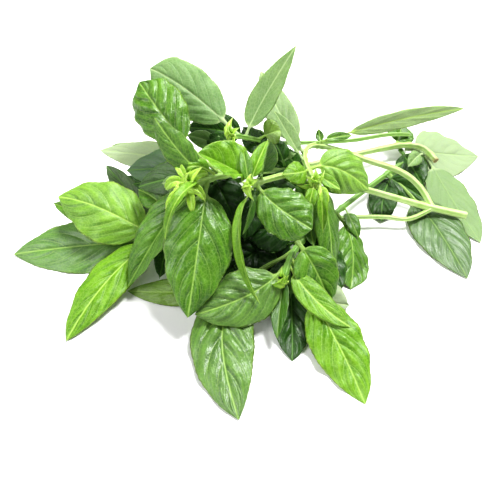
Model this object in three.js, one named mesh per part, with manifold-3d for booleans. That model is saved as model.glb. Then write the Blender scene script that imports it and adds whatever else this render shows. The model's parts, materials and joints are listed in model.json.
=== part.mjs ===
// A bunch of basil lying on its side: six stems, the tuft at the end of each sprig, and the leaves.
// Millimetres, +Z up, the table is z = 0. The cut ends of the stems point to +X.
import * as THREE from 'three';
import Module from 'manifold-3d';

const wasm = await Module();
wasm.setup();

// ---- Driving dimensions, mm and degrees ----
const GAP = 0.3;                    // clear space left between any two pieces
const FOOT_GAP = 0.6;               // space between a stem's side and the foot of a leaf
const SIDES = 8;                    // points round every stem and every leaf section
const STALK_RADIUS = 0.85;          // leaf stalk
const STALK_GROOVE = 0.35;          // how far the stalk's upper side is sunk at its foot
const RIB_THICKNESS = 1.1;          // blade thickness over the midrib
const BLADE_THICKNESS = 0.8;        // blade thickness halfway to the margin
const MARGIN_HEIGHT = 0.4;          // least height of a margin that lies on the table
const BLADE_STATIONS = [0.07, 0.2, 0.38, 0.57, 0.75, 0.9];
const BASE_POWER = 0.55;            // how fast the blade widens from its base
const POINTED = 0.85;               // how fast a pointed blade narrows to its tip
const STEM_STATIONS = 15;
const TUFT_CORE = 1.9;              // radius of the bud in the middle of a tuft
const TUFT_LEAF_WIDTH = 4.6;
const TUFT_LEAF_SIDES = 6;
const TUFT_LEAF_THICKNESS = 0.9;

// A crowded leaf gives way along this direction, up and to the front, or back and down.
const GIVE_WAY = new THREE.Vector3(0, -0.64, 0.77);
const TIP_SHIFTS = [0, 2, -2, 4, -4, 7, -7, 10, -10, 14, -14, 18, 22];
const BOW_SHIFTS = [0, 3, -3, 6, -6, 10, -10, 14, -14, 19];
const ROLLS = [0, 8, -8, 16, -16, 25, -25, 36, -36];

const TONES = {
  bright: { color: 0x8fbf3a, roughness: 0.5 },
  mid: { color: 0x4f8f2f, roughness: 0.48 },
  dark: { color: 0x2c6326, roughness: 0.45 },
  pale: { color: 0x8fae78, roughness: 0.7 },
  stem: { color: 0xb5cf7e, roughness: 0.5 },
  tuft: { color: 0xa9cc45, roughness: 0.5 },
};

// Each stem runs from its cut end to its growing end: route points, then the radius at both ends.
const STEMS = {
  stem_front: {
    route: [[129, 28, 7], [106, 31, 10], [87, 33, 14], [68, 34, 19], [45, 31, 28], [20, 20, 41],
      [8, 5, 51], [0, -5, 57]],
    radii: [2.2, 1.3],
  },
  stem_arch: {
    route: [[106, 37, 12], [101, 42, 16], [92, 47, 21], [82, 48, 25], [67, 48, 30], [55, 49, 34],
      [44, 48, 38], [35, 45, 42], [29, 37, 45], [28, 26, 46], [31, 14, 46]],
    radii: [1.8, 1.1],
  },
  stem_left: {
    route: [[104, 25, 7], [95, 23, 7], [78, 23, 8], [55, 20, 9], [28, 13, 10], [-1, 5, 11],
      [-28, 0, 12], [-58, -6, 14]],
    radii: [1.2, 0.9],
  },
  stem_back: {
    route: [[120, 76, 8], [115, 85, 9], [107, 89, 10], [95, 86, 11], [63, 70, 15], [34, 51, 22],
      [15, 35, 31], [-5, 19, 42], [-19, 5, 51], [-28, -4, 55]],
    radii: [1.9, 1.2],
  },
  stem_low: {
    route: [[100, 78, 4], [89, 66, 6], [72, 47, 9], [54, 26, 12], [39, 6, 16], [28, -8, 19],
      [21, -23, 22], [18, -35, 23]],
    radii: [1.6, 1.1],
  },
  stem_high: {
    route: [[104, 96, 13], [89, 90, 17], [62, 76, 22], [34, 62, 30], [11, 46, 42], [-2, 36, 52],
      [-10, 29, 59]],
    radii: [1.3, 1.0],
  },
};

// Tufts of small new leaves at the growing ends: how far the largest small leaves reach.
const TUFTS = {
  tuft_centre: { stem: 'stem_front', reach: 8 },
  tuft_crown: { stem: 'stem_back', reach: 10 },
  tuft_back: { stem: 'stem_high', reach: 8 },
  tuft_right: { stem: 'stem_arch', reach: 8 },
  tuft_low: { stem: 'stem_low', reach: 7 },
};

// Leaves in the order they are laid. on: stem; at: share of the way along it; tip: where the leaf
// ends; face: where its upper side looks; arch and sweep: how far the near and far half of the
// midrib bow up and to the right; fold: how far the margins rise; curl: belly of each half;
// blunt: how fast the blade narrows; stalk: the stalk's share of the length.
const LEAVES = [
  // sprig at the middle
  { name: 'leaf_centre_1', tone: 'bright', on: 'stem_front', at: 0.985, tip: [-27, 1, 70],
    width: 26, face: [0.1, -0.14, 0.99], arch: [5, 6], sweep: [-2, -3], fold: 32, curl: 0.05,
    stalk: 0.1 },
  { name: 'leaf_centre_2', tone: 'mid', on: 'stem_front', at: 0.985, tip: [30, -22, 44],
    width: 25, face: [0, -0.55, 0.8], arch: [-2, 1], sweep: [3, 3], fold: -8, curl: 0.1, blunt: 0.5,
    stalk: 0.1 },
  { name: 'leaf_centre_3', tone: 'mid', on: 'stem_front', at: 0.96, tip: [7, 0, 80],
    width: 13, face: [0.7, -0.6, 0.3], arch: [0, 0], fold: 35, stalk: 0.12 },
  { name: 'leaf_centre_4', tone: 'bright', on: 'stem_front', at: 0.995, tip: [6, -51, 20],
    width: 8, face: [-0.7, -0.6, 0.3], arch: [6, 4], sweep: [12, 11], fold: 30, stalk: 0.1 },
  { name: 'leaf_centre_5', tone: 'mid', on: 'stem_front', at: 0.965, tip: [-4, -24, 40],
    width: 7, face: [0.8, -0.5, 0.3], arch: [3, 3], sweep: [1, -1], fold: 30, stalk: 0.1 },
  // the crown, on the stem that reaches furthest
  { name: 'leaf_crown_1', tone: 'mid', on: 'stem_back', at: 0.97, tip: [-29, -58, 16],
    width: 35, face: [0.05, -0.7, 0.7], arch: [10, 12], sweep: [-2, -2], fold: -12, curl: 0.07,
    stalk: 0.1 },
  { name: 'leaf_crown_2', tone: 'mid', on: 'stem_back', at: 0.965, tip: [-48, 11, 82],
    width: 15, face: [0.3, -0.7, 0.6], arch: [0, 2], sweep: [-3, -3], fold: -8, curl: 0.1,
    stalk: 0.12 },
  { name: 'leaf_crown_3', tone: 'mid', on: 'stem_back', at: 0.95, tip: [-63, -35, 8],
    width: 24, face: [-0.6, -0.45, 0.6], arch: [16, 12], fold: 20, curl: 0.05, stalk: 0.14 },
  { name: 'leaf_crown_4', tone: 'bright', on: 'stem_back', at: 0.985, tip: [-41, -31, 42],
    width: 7, face: [-0.5, -0.7, 0.5], arch: [6, 6], sweep: [2, 2], fold: 30, stalk: 0.1 },
  { name: 'leaf_crown_5', tone: 'dark', on: 'stem_back', at: 0.9, tip: [-61, 9, 38],
    width: 20, face: [-0.2, -0.5, 0.8], arch: [5, 4], fold: 8, stalk: 0.15 },
  { name: 'leaf_crown_6', tone: 'dark', on: 'stem_back', at: 0.86, tip: [-71, 26, 34],
    width: 24, face: [0, -0.6, 0.8], arch: [4, 3], fold: 0, curl: 0.05, stalk: 0.2 },
  // sprig at the back
  { name: 'leaf_back_1', tone: 'pale', on: 'stem_high', at: 0.985, tip: [-57, 56, 80],
    width: 27, face: [0.2, -0.75, 0.6], arch: [0, 4], sweep: [4, 3], fold: -6, curl: 0.05,
    blunt: 0.5, stalk: 0.18 },
  { name: 'leaf_back_2', tone: 'pale', on: 'stem_high', at: 0.94, tip: [20, 64, 92],
    width: 16, face: [-0.5, -0.75, 0.4], arch: [-2, -1], sweep: [-4, -2], fold: 8, blunt: 1,
    stalk: 0.08 },
  { name: 'leaf_back_3', tone: 'dark', on: 'stem_high', at: 0.9, tip: [-38, 46, 50],
    width: 19, face: [0, -0.6, 0.8], arch: [3, 2], fold: 10, stalk: 0.15 },
  { name: 'leaf_back_4', tone: 'mid', on: 'stem_back', at: 0.91, tip: [-62, 54, 70],
    width: 29, face: [-0.1, -0.7, 0.6], arch: [3, 8], sweep: [-7, -7], fold: -14, curl: 0.08,
    blunt: 0.5, stalk: 0.36 },
  { name: 'leaf_back_5', tone: 'pale', on: 'stem_back', at: 0.8, tip: [-91, 47, 30],
    width: 19, face: [0.1, -0.4, 0.9], arch: [3, 2], fold: 0, stalk: 0.34 },
  { name: 'leaf_back_6', tone: 'mid', on: 'stem_high', at: 0.86, tip: [15, 44, 52],
    width: 15, face: [0, -0.6, 0.8], arch: [2, 2], fold: 10, stalk: 0.2 },
  // the bend of the arched stem
  { name: 'leaf_bend_1', tone: 'pale', on: 'stem_arch', at: 0.82, tip: [2, 87, 62],
    width: 17, face: [0.1, -0.8, 0.5], arch: [0, 0], sweep: [-2, -3], fold: 0, stalk: 0.12 },
  { name: 'leaf_bend_2', tone: 'pale', on: 'stem_arch', at: 0.88, tip: [10, 45, 64],
    width: 10, face: [0.6, -0.7, 0.3], arch: [-2, 0], fold: 25, stalk: 0.12 },
  { name: 'leaf_bend_3', tone: 'bright', on: 'stem_arch', at: 0.66, tip: [135, 98, 34],
    width: 12, face: [0, -0.95, 0.3], arch: [4, 5], sweep: [-3, 0], fold: 6, stalk: 0.18 },
  { name: 'leaf_bend_4', tone: 'mid', on: 'stem_arch', at: 0.69, tip: [57, 57, 40],
    width: 6, face: [0, -0.6, 0.8], arch: [3, 2], fold: 10, stalk: 0.2 },
  { name: 'leaf_bend_5', tone: 'mid', on: 'stem_arch', at: 0.66, tip: [37, 56, 45],
    width: 5, face: [-0.3, -0.6, 0.8], arch: [1, 1], fold: 10, stalk: 0.2 },
  // sprig at the right
  { name: 'leaf_right_1', tone: 'bright', on: 'stem_arch', at: 0.955, tip: [64, 18, 34],
    width: 25, face: [0.15, -0.6, 0.75], arch: [8, 8], sweep: [-4, 0], fold: -10, curl: 0.05,
    stalk: 0.12 },
  { name: 'leaf_right_2', tone: 'bright', on: 'stem_arch', at: 0.97, tip: [15, 9, 51],
    width: 13, face: [0, -0.6, 0.8], arch: [3, 2], sweep: [-3, -2], fold: -8, stalk: 0.08 },
  { name: 'leaf_right_4', tone: 'bright', on: 'stem_arch', at: 0.99, tip: [46, 7, 44],
    width: 7, face: [0.2, -0.6, 0.8], arch: [3, 2], fold: 15, stalk: 0.1 },
  { name: 'leaf_hang_1', tone: 'mid', on: 'stem_arch', at: 0.985, tip: [45, -26, 11],
    width: 19, face: [0.6, -0.6, 0.5], arch: [6, 8], sweep: [-6, -4], fold: -14, stalk: 0.1 },
  { name: 'leaf_right_5', tone: 'mid', on: 'stem_arch', at: 0.94, tip: [34, -14, 22],
    width: 15, face: [-0.3, -0.8, 0.5], arch: [3, 3], sweep: [3, 1], fold: 15, stalk: 0.12 },
  // leaves that hang at the right, low on the bunch
  { name: 'leaf_hang_2', tone: 'dark', on: 'stem_low', at: 0.75, tip: [46, -37, 7],
    width: 26, face: [0.1, -0.6, 0.75], arch: [7, 6], fold: -5, curl: 0.05, stalk: 0.1 },
  { name: 'leaf_hang_3', tone: 'mid', on: 'stem_low', at: 0.55, tip: [56, -28, 2],
    width: 24, face: [0.5, -0.4, 0.75], arch: [4, 6], sweep: [-8, -6], fold: -8, blunt: 0.55,
    stalk: 0.16 },
  { name: 'leaf_hang_4', tone: 'mid', on: 'stem_low', at: 0.5, tip: [62, 8, 5],
    width: 9, face: [0.2, -0.5, 0.8], arch: [2, 1], fold: 10, stalk: 0.2 },
  // sprig at the front
  { name: 'leaf_low_1', tone: 'mid', on: 'stem_low', at: 0.97, tip: [-26, -54, 13],
    width: 29, face: [-0.1, -0.55, 0.8], arch: [0, 2], sweep: [-6, -5], fold: -8, curl: 0.08,
    stalk: 0.1 },
  { name: 'leaf_low_2', tone: 'mid', on: 'stem_low', at: 0.98, tip: [15, -64, 10],
    width: 10, face: [-0.3, -0.6, 0.7], arch: [4, 3], fold: 20, stalk: 0.1 },
  { name: 'leaf_low_3', tone: 'bright', on: 'stem_low', at: 0.955, tip: [51, -57, 12],
    width: 14, face: [0.1, -0.5, 0.8], arch: [-1, -1], sweep: [3, 3], fold: 5, stalk: 0.08 },
  { name: 'leaf_low_4', tone: 'bright', on: 'stem_low', at: 0.92, tip: [57, -93, 1],
    width: 27, face: [0.05, -0.5, 0.85], arch: [-2, 1], sweep: [-2, -4], fold: -5, curl: 0.04,
    stalk: 0.3 },
  { name: 'leaf_low_5', tone: 'dark', on: 'stem_low', at: 0.95, tip: [23, -72, 1],
    width: 21, face: [0, -0.5, 0.8], arch: [-5, -3], sweep: [-2, -2], fold: 8, stalk: 0.25 },
  { name: 'leaf_low_6', tone: 'mid', on: 'stem_low', at: 0.89, tip: [-2, -102, 1],
    width: 32, face: [-0.05, -0.45, 0.9], arch: [-5, 2], sweep: [38, 22], fold: -4, curl: 0.05,
    stalk: 0.34 },
  { name: 'leaf_low_7', tone: 'mid', on: 'stem_low', at: 0.85, tip: [-65, -33, 1],
    width: 16, face: [0, -0.4, 0.9], arch: [-6, -2], sweep: [-16, -10], fold: 0, stalk: 0.45 },
  // sprig at the left
  { name: 'leaf_left_1', tone: 'bright', on: 'stem_left', at: 0.985, tip: [-107, 10, 27],
    width: 36, face: [-0.1, -0.35, 0.9], arch: [8, 9], fold: -10, curl: 0.05, stalk: 0.08 },
  { name: 'leaf_left_2', tone: 'mid', on: 'stem_left', at: 0.955, tip: [-133, -11, 1],
    width: 33, face: [-0.1, -0.4, 0.9], arch: [-1, 2], fold: -4, curl: 0.04, stalk: 0.14 },
  { name: 'leaf_left_3', tone: 'bright', on: 'stem_left', at: 0.975, tip: [-90, -65, 1],
    width: 23, face: [-0.1, -0.4, 0.9], arch: [4, 5], sweep: [4, 4], fold: -6, curl: 0.06,
    stalk: 0.07 },
  { name: 'leaf_left_4', tone: 'dark', on: 'stem_left', at: 0.94, tip: [-92, 54, 12],
    width: 15, face: [-0.5, -0.3, 0.8], arch: [4, 3], fold: 20, stalk: 0.2 },
  { name: 'leaf_left_5', tone: 'dark', on: 'stem_left', at: 0.9, tip: [-80, 52, 6],
    width: 24, face: [0, -0.3, 0.9], arch: [2, 2], fold: 0, stalk: 0.3 },
  // leaves by the cut ends
  { name: 'leaf_cut_2', tone: 'pale', on: 'stem_back', at: 0.03, tip: [136, 12, 1],
    width: 28, face: [0.1, -0.2, 1], arch: [1, 1], sweep: [1, 1], fold: 0, stalk: 0.12 },
  { name: 'leaf_cut_1', tone: 'pale', on: 'stem_back', at: 0.12, tip: [154, 90, 2],
    width: 44, face: [0, -0.12, 1], arch: [-4, -2], fold: -2, curl: 0.04, blunt: 1.05,
    stalk: 0.12 },
  { name: 'leaf_cut_3', tone: 'mid', on: 'stem_low', at: 0.14, tip: [122, -15, 1],
    width: 32, face: [0, -0.2, 1], arch: [-1, 2], sweep: [-8, -4], fold: -3, curl: 0.04,
    stalk: 0.3 },
  { name: 'leaf_cut_4', tone: 'mid', on: 'stem_back', at: 0.16, tip: [100, 103, 16],
    width: 20, face: [0, -0.7, 0.7], arch: [1, 1], fold: 6, blunt: 0.6, stalk: 0.1 },
  { name: 'leaf_cut_5', tone: 'dark', on: 'stem_low', at: 0.1, tip: [79, 25, 2],
    width: 18, face: [-0.2, -0.2, 1], arch: [-1, 1], sweep: [3, 3], fold: 0, blunt: 0.6,
    stalk: 0.12 },
  // leaves inside the bunch
  { name: 'leaf_inner_1', tone: 'dark', on: 'stem_low', at: 0.8, tip: [-9, -17, 9],
    width: 22, face: [0, -0.5, 0.8], arch: [1, 2], fold: -5, stalk: 0.12 },
  { name: 'leaf_inner_2', tone: 'dark', on: 'stem_left', at: 0.72, tip: [-14, -44, 4],
    width: 26, face: [0, -0.5, 0.8], arch: [2, 3], fold: -5, stalk: 0.14 },
];

// ---- Closed bodies from rings of points ----
function loft(rings, foot, tip) {
  const points = [foot, ...rings.flat(), tip];
  const triangles = [];
  const last = points.length - 1;
  const sides = rings[0].length;
  const index = (ring, side) => 1 + ring * sides + (side % sides);
  for (let side = 0; side < sides; side += 1) {
    triangles.push([0, index(0, side + 1), index(0, side)]);
    for (let ring = 0; ring + 1 < rings.length; ring += 1) {
      const near = index(ring, side);
      const nearNext = index(ring, side + 1);
      const far = index(ring + 1, side);
      const farNext = index(ring + 1, side + 1);
      triangles.push([near, nearNext, farNext], [near, farNext, far]);
    }
    triangles.push([index(rings.length - 1, side), index(rings.length - 1, side + 1), last]);
  }
  return { points, triangles };
}

function solid({ points, triangles }) {
  return new wasm.Manifold(new wasm.Mesh({
    numProp: 3,
    vertProperties: new Float32Array(points.flatMap((p) => [p.x, p.y, p.z])),
    triVerts: new Uint32Array(triangles.flat()),
  }));
}

function named(name, tone, { points, triangles }) {
  const geometry = new THREE.BufferGeometry();
  const positions = points.flatMap((p) => [p.x, p.y, p.z]);
  geometry.setAttribute('position', new THREE.Float32BufferAttribute(positions, 3));
  geometry.setIndex(triangles.flat());
  geometry.computeVertexNormals();
  const material = new THREE.MeshStandardMaterial({ ...TONES[tone], metalness: 0 });
  material.name = tone;
  const mesh = new THREE.Mesh(geometry, material);
  mesh.name = name;
  return mesh;
}

function pointsOfSolid(manifold) {
  const { vertProperties, triVerts } = manifold.getMesh();
  const points = [];
  for (let i = 0; i < vertProperties.length; i += 3) {
    points.push(new THREE.Vector3(...vertProperties.subarray(i, i + 3)));
  }
  const triangles = [];
  for (let i = 0; i < triVerts.length; i += 3) {
    triangles.push([...triVerts.subarray(i, i + 3)]);
  }
  return { points, triangles };
}

// Part of `vector` square to the unit vector `axis`.
function squareTo(vector, axis) {
  return vector.clone().addScaledVector(axis, -vector.dot(axis)).normalize();
}

// Up directions along a curve that turn no more than the curve does, set by `face` at `start`.
function steadyUps(tangents, face, start) {
  const ups = [];
  ups[start] = squareTo(face, tangents[start]);
  for (let i = start + 1; i < tangents.length; i += 1) {
    ups[i] = squareTo(ups[i - 1], tangents[i]);
  }
  for (let i = start - 1; i >= 0; i -= 1) {
    ups[i] = squareTo(ups[i + 1], tangents[i]);
  }
  return ups;
}

// ---- Stems ----
function stemCurve(stem) {
  return new THREE.CatmullRomCurve3(stem.route.map((p) => new THREE.Vector3(...p)), false, 'centripetal');
}

function stemRadius(stem, share) {
  return THREE.MathUtils.lerp(stem.radii[0], stem.radii[1], share);
}

function stemBody(stem) {
  const curve = stemCurve(stem);
  const shares = Array.from({ length: STEM_STATIONS }, (_, i) => i / (STEM_STATIONS - 1));
  const tangents = shares.map((share) => curve.getTangentAt(share));
  const ups = steadyUps(tangents, new THREE.Vector3(0, 0, 1), 0);
  const rings = shares.map((share, i) => {
    const right = tangents[i].clone().cross(ups[i]);
    return Array.from({ length: SIDES }, (_, side) => {
      const angle = (side / SIDES) * 2 * Math.PI;
      return curve.getPointAt(share)
        .addScaledVector(ups[i], stemRadius(stem, share) * Math.cos(angle))
        .addScaledVector(right, stemRadius(stem, share) * Math.sin(angle));
    });
  });
  const foot = curve.getPointAt(0).addScaledVector(tangents[0], -stem.radii[0] / 5);
  const tip = curve.getPointAt(1).addScaledVector(tangents.at(-1), stem.radii[1] / 2);
  return loft(rings, foot, tip);
}

// ---- Leaves ----
// Half width at a share of the blade, 1 at the widest place.
function outline(share, blunt) {
  const shape = (s) => s ** BASE_POWER * (1 - s) ** blunt;
  return shape(share) / shape(BASE_POWER / (BASE_POWER + blunt));
}

function midrib(leaf, shift) {
  const stem = STEMS[leaf.on];
  const curve = stemCurve(stem);
  const axis = curve.getTangentAt(leaf.at);
  const centre = curve.getPointAt(leaf.at);
  const tip = new THREE.Vector3(...leaf.tip).addScaledVector(GIVE_WAY, shift.tip);
  const across = tip.clone().sub(centre);
  const right = new THREE.Vector3(across.y, -across.x, 0).normalize();
  const [nearArch, farArch] = leaf.arch;
  const [nearSweep, farSweep] = leaf.sweep ?? [0, 0];
  const near = centre.clone().addScaledVector(across, 1 / 3).addScaledVector(right, nearSweep);
  const far = centre.clone().addScaledVector(across, 2 / 3).addScaledVector(right, farSweep);
  near.z += nearArch;
  far.z += farArch;
  near.addScaledVector(GIVE_WAY, shift.bow);
  far.addScaledVector(GIVE_WAY, shift.bow);
  const start = near.clone().sub(centre).normalize();
  const besideStem = STALK_RADIUS * Math.abs(start.dot(axis));
  const clearOfStem = stemRadius(stem, leaf.at) + FOOT_GAP + besideStem;
  const foot = centre.addScaledVector(squareTo(start, axis), clearOfStem);
  return new THREE.CubicBezierCurve3(foot, near, far, tip);
}

function stalkRing(centre, up, right, isFoot) {
  return Array.from({ length: SIDES }, (_, side) => {
    const angle = (side / SIDES) * 2 * Math.PI;
    const sunk = isFoot && side === 0 ? STALK_GROOVE : 0;
    return centre.clone()
      .addScaledVector(up, (STALK_RADIUS - sunk) * Math.cos(angle))
      .addScaledVector(right, STALK_RADIUS * Math.sin(angle));
  });
}

// Rib top, right half top, right margin, right half bottom, keel, then the left side back up.
function bladeRing(leaf, centre, up, right, half) {
  const fold = THREE.MathUtils.degToRad(leaf.fold);
  const belly = (leaf.curl ?? 0) * half;
  const place = (side, height) => centre.clone()
    .addScaledVector(right, side * Math.cos(fold))
    .addScaledVector(up, Math.abs(side) * Math.sin(fold) + height);
  const skin = Math.min(1, half / 4);
  const rib = (RIB_THICKNESS * skin) / 2;
  const blade = (BLADE_THICKNESS * skin) / 2;
  const ring = [
    place(0, rib), place(half / 2, belly + blade), place(half, 0), place(half / 2, belly - blade),
    place(0, -rib), place(-half / 2, belly - blade), place(-half, 0), place(-half / 2, belly + blade),
  ];
  const lowest = [2 * rib, 2 * blade, MARGIN_HEIGHT, 0, 0, 0, MARGIN_HEIGHT, 2 * blade];
  ring.forEach((point, side) => {
    point.z = Math.max(point.z, lowest[side]);
  });
  return ring;
}

function leafBody(leaf, shift) {
  const curve = midrib(leaf, shift);
  const { stalk } = leaf;
  const blade = BLADE_STATIONS.map((share) => stalk + (1 - stalk) * share);
  const shares = [0, stalk / 2, stalk, ...blade];
  const centres = shares.map((share) => {
    const centre = curve.getPointAt(share);
    centre.z = Math.max(centre.z, STALK_RADIUS);
    return centre;
  });
  const tangents = shares.map((share) => curve.getTangentAt(share));
  const middle = Math.floor(shares.length / 2) + 1;
  const face = squareTo(new THREE.Vector3(...leaf.face), tangents[middle]);
  face.applyAxisAngle(tangents[middle], THREE.MathUtils.degToRad(shift.roll));
  const ups = steadyUps(tangents, face, middle);
  const stalkRings = 3;
  const rings = shares.map((share, i) => {
    const right = tangents[i].clone().cross(ups[i]);
    if (i < stalkRings) {
      return stalkRing(centres[i], ups[i], right, i === 0);
    }
    const along = BLADE_STATIONS[i - stalkRings];
    const half = (leaf.width / 2) * outline(along, leaf.blunt ?? POINTED);
    return bladeRing(leaf, centres[i], ups[i], right, half);
  });
  const foot = centres[0].clone().addScaledVector(tangents[0], -STALK_RADIUS / 4);
  const tip = curve.getPointAt(1);
  tip.z = Math.max(tip.z, MARGIN_HEIGHT);
  return loft(rings, foot, tip);
}

// ---- Tufts ----
// A bud with crossed pairs of small folded leaves that open out round the end of the stem.
function tuftBody(tuft) {
  const curve = stemCurve(STEMS[tuft.stem]);
  const axis = curve.getTangentAt(1);
  const side = squareTo(new THREE.Vector3(0, 0, 1), axis);
  const stemEnd = STEMS[tuft.stem].radii[1] / 2;
  const centre = curve.getPointAt(1).addScaledVector(axis, stemEnd + GAP + TUFT_CORE);
  const bud = new THREE.IcosahedronGeometry(TUFT_CORE, 0);
  const pairs = [
    { turn: 20, lean: 68, length: tuft.reach },
    { turn: 110, lean: 50, length: tuft.reach * 0.8 },
    { turn: 65, lean: 25, length: tuft.reach * 0.6 },
  ];
  let body = solid(indexed(bud, centre));
  for (const { turn, lean, length } of pairs) {
    for (const half of [0, 180]) {
      const out = side.clone().applyAxisAngle(axis, THREE.MathUtils.degToRad(turn + half));
      const angle = THREE.MathUtils.degToRad(lean);
      const along = axis.clone().multiplyScalar(Math.cos(angle)).addScaledVector(out, Math.sin(angle));
      const up = squareTo(axis, along);
      body = body.add(solid(smallLeaf(centre, along, up, length)));
    }
  }
  return pointsOfSolid(body);
}

function indexed(geometry, centre) {
  const byPlace = new Map();
  const points = [];
  const order = [];
  const position = geometry.getAttribute('position');
  for (let i = 0; i < position.count; i += 1) {
    const point = new THREE.Vector3().fromBufferAttribute(position, i);
    const place = point.toArray().map((value) => value.toFixed(3)).join();
    if (!byPlace.has(place)) {
      byPlace.set(place, points.length);
      points.push(point.add(centre));
    }
    order.push(byPlace.get(place));
  }
  const triangles = [];
  for (let i = 0; i < order.length; i += 3) {
    triangles.push(order.slice(i, i + 3));
  }
  return { points, triangles };
}

// A leaf of a tuft: a thin six-sided spindle, widest a third of the way up and folded upwards.
function smallLeaf(foot, along, up, length) {
  const right = along.clone().cross(up);
  const rings = [[0.15, 0.35], [0.4, 1], [0.75, 0.7]].map(([share, wide]) => {
    const centre = foot.clone().addScaledVector(along, share * length);
    const half = (TUFT_LEAF_WIDTH / 2) * wide;
    const rise = half / 3;
    return Array.from({ length: TUFT_LEAF_SIDES }, (_, side) => {
      const angle = (side / TUFT_LEAF_SIDES) * 2 * Math.PI;
      const across = Math.sin(angle);
      return centre.clone()
        .addScaledVector(right, half * across)
        .addScaledVector(up, (TUFT_LEAF_THICKNESS / 2) * Math.cos(angle) + rise * across ** 2);
    });
  });
  return loft(rings, foot, foot.clone().addScaledVector(along, length));
}

// ---- Laying the leaves ----
// Every way a leaf may give, the smallest change first.
const GIVES = TIP_SHIFTS.flatMap((tip) => BOW_SHIFTS.flatMap((bow) => ROLLS.map((roll) => (
  { tip, bow, roll, change: Math.abs(tip) / 3 + Math.abs(bow) / 3 + Math.abs(roll) / 6 }
)))).sort((one, other) => one.change - other.change);

function isClear(body, laid) {
  const box = body.boundingBox();
  return laid.every((other) => {
    const apart = [0, 1, 2].some((k) => (
      box.min[k] - GAP > other.box.max[k] || other.box.min[k] - GAP > box.max[k]
    ));
    return apart || body.minGap(other.body, 2 * GAP) >= GAP;
  });
}

function layLeaf(leaf, laid) {
  for (const shift of GIVES) {
    const shape = leafBody(leaf, shift);
    const body = solid(shape);
    if (isClear(body, laid)) {
      laid.push({ body, box: body.boundingBox() });
      return shape;
    }
    body.delete();
  }
  throw new Error(`${leaf.name} finds no free place`);
}

const bunch = new THREE.Group();
bunch.name = 'basil_bunch';
const laid = [];
for (const [name, stem] of Object.entries(STEMS)) {
  const shape = stemBody(stem);
  const body = solid(shape);
  laid.push({ body, box: body.boundingBox() });
  bunch.add(named(name, 'stem', shape));
}
for (const [name, tuft] of Object.entries(TUFTS)) {
  const shape = tuftBody(tuft);
  const body = solid(shape);
  laid.push({ body, box: body.boundingBox() });
  bunch.add(named(name, 'tuft', shape));
}
for (const leaf of LEAVES) {
  bunch.add(named(leaf.name, leaf.tone, layLeaf(leaf, laid)));
}

// The frame's origin is under the middle of the bunch, on the table.
const box = new THREE.Box3().setFromObject(bunch);
const middle = box.getCenter(new THREE.Vector3());
for (const mesh of bunch.children) {
  mesh.geometry.translate(-middle.x, -middle.y, -box.min.z);
}

export default bunch;
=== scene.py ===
"""A loose bunch of fresh basil on a pale floor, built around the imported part."""

import json
import logging
import math
from dataclasses import dataclass, field
from enum import Enum
from typing import Callable, Iterable, Sequence, Union

import bmesh
import bpy
import numpy as np
from mathutils import Matrix, Vector

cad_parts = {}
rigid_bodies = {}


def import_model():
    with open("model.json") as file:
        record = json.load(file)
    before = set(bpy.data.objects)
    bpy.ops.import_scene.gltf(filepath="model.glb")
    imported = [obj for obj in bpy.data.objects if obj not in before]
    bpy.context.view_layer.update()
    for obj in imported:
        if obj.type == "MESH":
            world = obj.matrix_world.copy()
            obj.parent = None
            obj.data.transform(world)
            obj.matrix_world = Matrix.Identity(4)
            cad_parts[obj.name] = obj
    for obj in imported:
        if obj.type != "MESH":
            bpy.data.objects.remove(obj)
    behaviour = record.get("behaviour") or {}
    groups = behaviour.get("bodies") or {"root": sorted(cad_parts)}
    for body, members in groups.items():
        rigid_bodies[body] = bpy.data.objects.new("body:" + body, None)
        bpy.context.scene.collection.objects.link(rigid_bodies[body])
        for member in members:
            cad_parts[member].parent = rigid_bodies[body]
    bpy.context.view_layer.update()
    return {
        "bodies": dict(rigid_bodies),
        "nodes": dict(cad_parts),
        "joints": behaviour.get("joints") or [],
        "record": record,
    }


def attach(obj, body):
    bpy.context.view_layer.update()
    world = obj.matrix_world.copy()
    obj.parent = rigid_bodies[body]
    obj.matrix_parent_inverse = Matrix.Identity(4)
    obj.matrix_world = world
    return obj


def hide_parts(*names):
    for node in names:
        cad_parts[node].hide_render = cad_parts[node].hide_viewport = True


LOG = logging.getLogger("basil")
MM = 0.001
BODY = "root"
# The least height of a piece over the floor, in metres.
FLOOR_GAP = 0.3 * MM
# Where the places of the small leaves are measured from, in millimetres.
PLAN_ORIGIN = np.array([-1.5, -3.609, 0.0])

Number = Union[float, int]
Points = np.ndarray
Socket = bpy.types.NodeSocket
Mesh = bpy.types.Mesh
Object = bpy.types.Object
Material = bpy.types.Material


# ---- node trees


def operation(kind: str, turned: bool = False) -> Callable[..., "Value"]:
    """Makes a method of Value that adds one Math node.

    Args:
        kind: the node's operation.
        turned: whether the method's own value comes second.

    Returns:
        The method.
    """

    def method(value: "Value", *others: "Operand") -> "Value":
        """Adds the node."""
        inputs = (*others, value) if turned else (value, *others)
        return value.tree.math(kind, *inputs)

    return method


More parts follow.
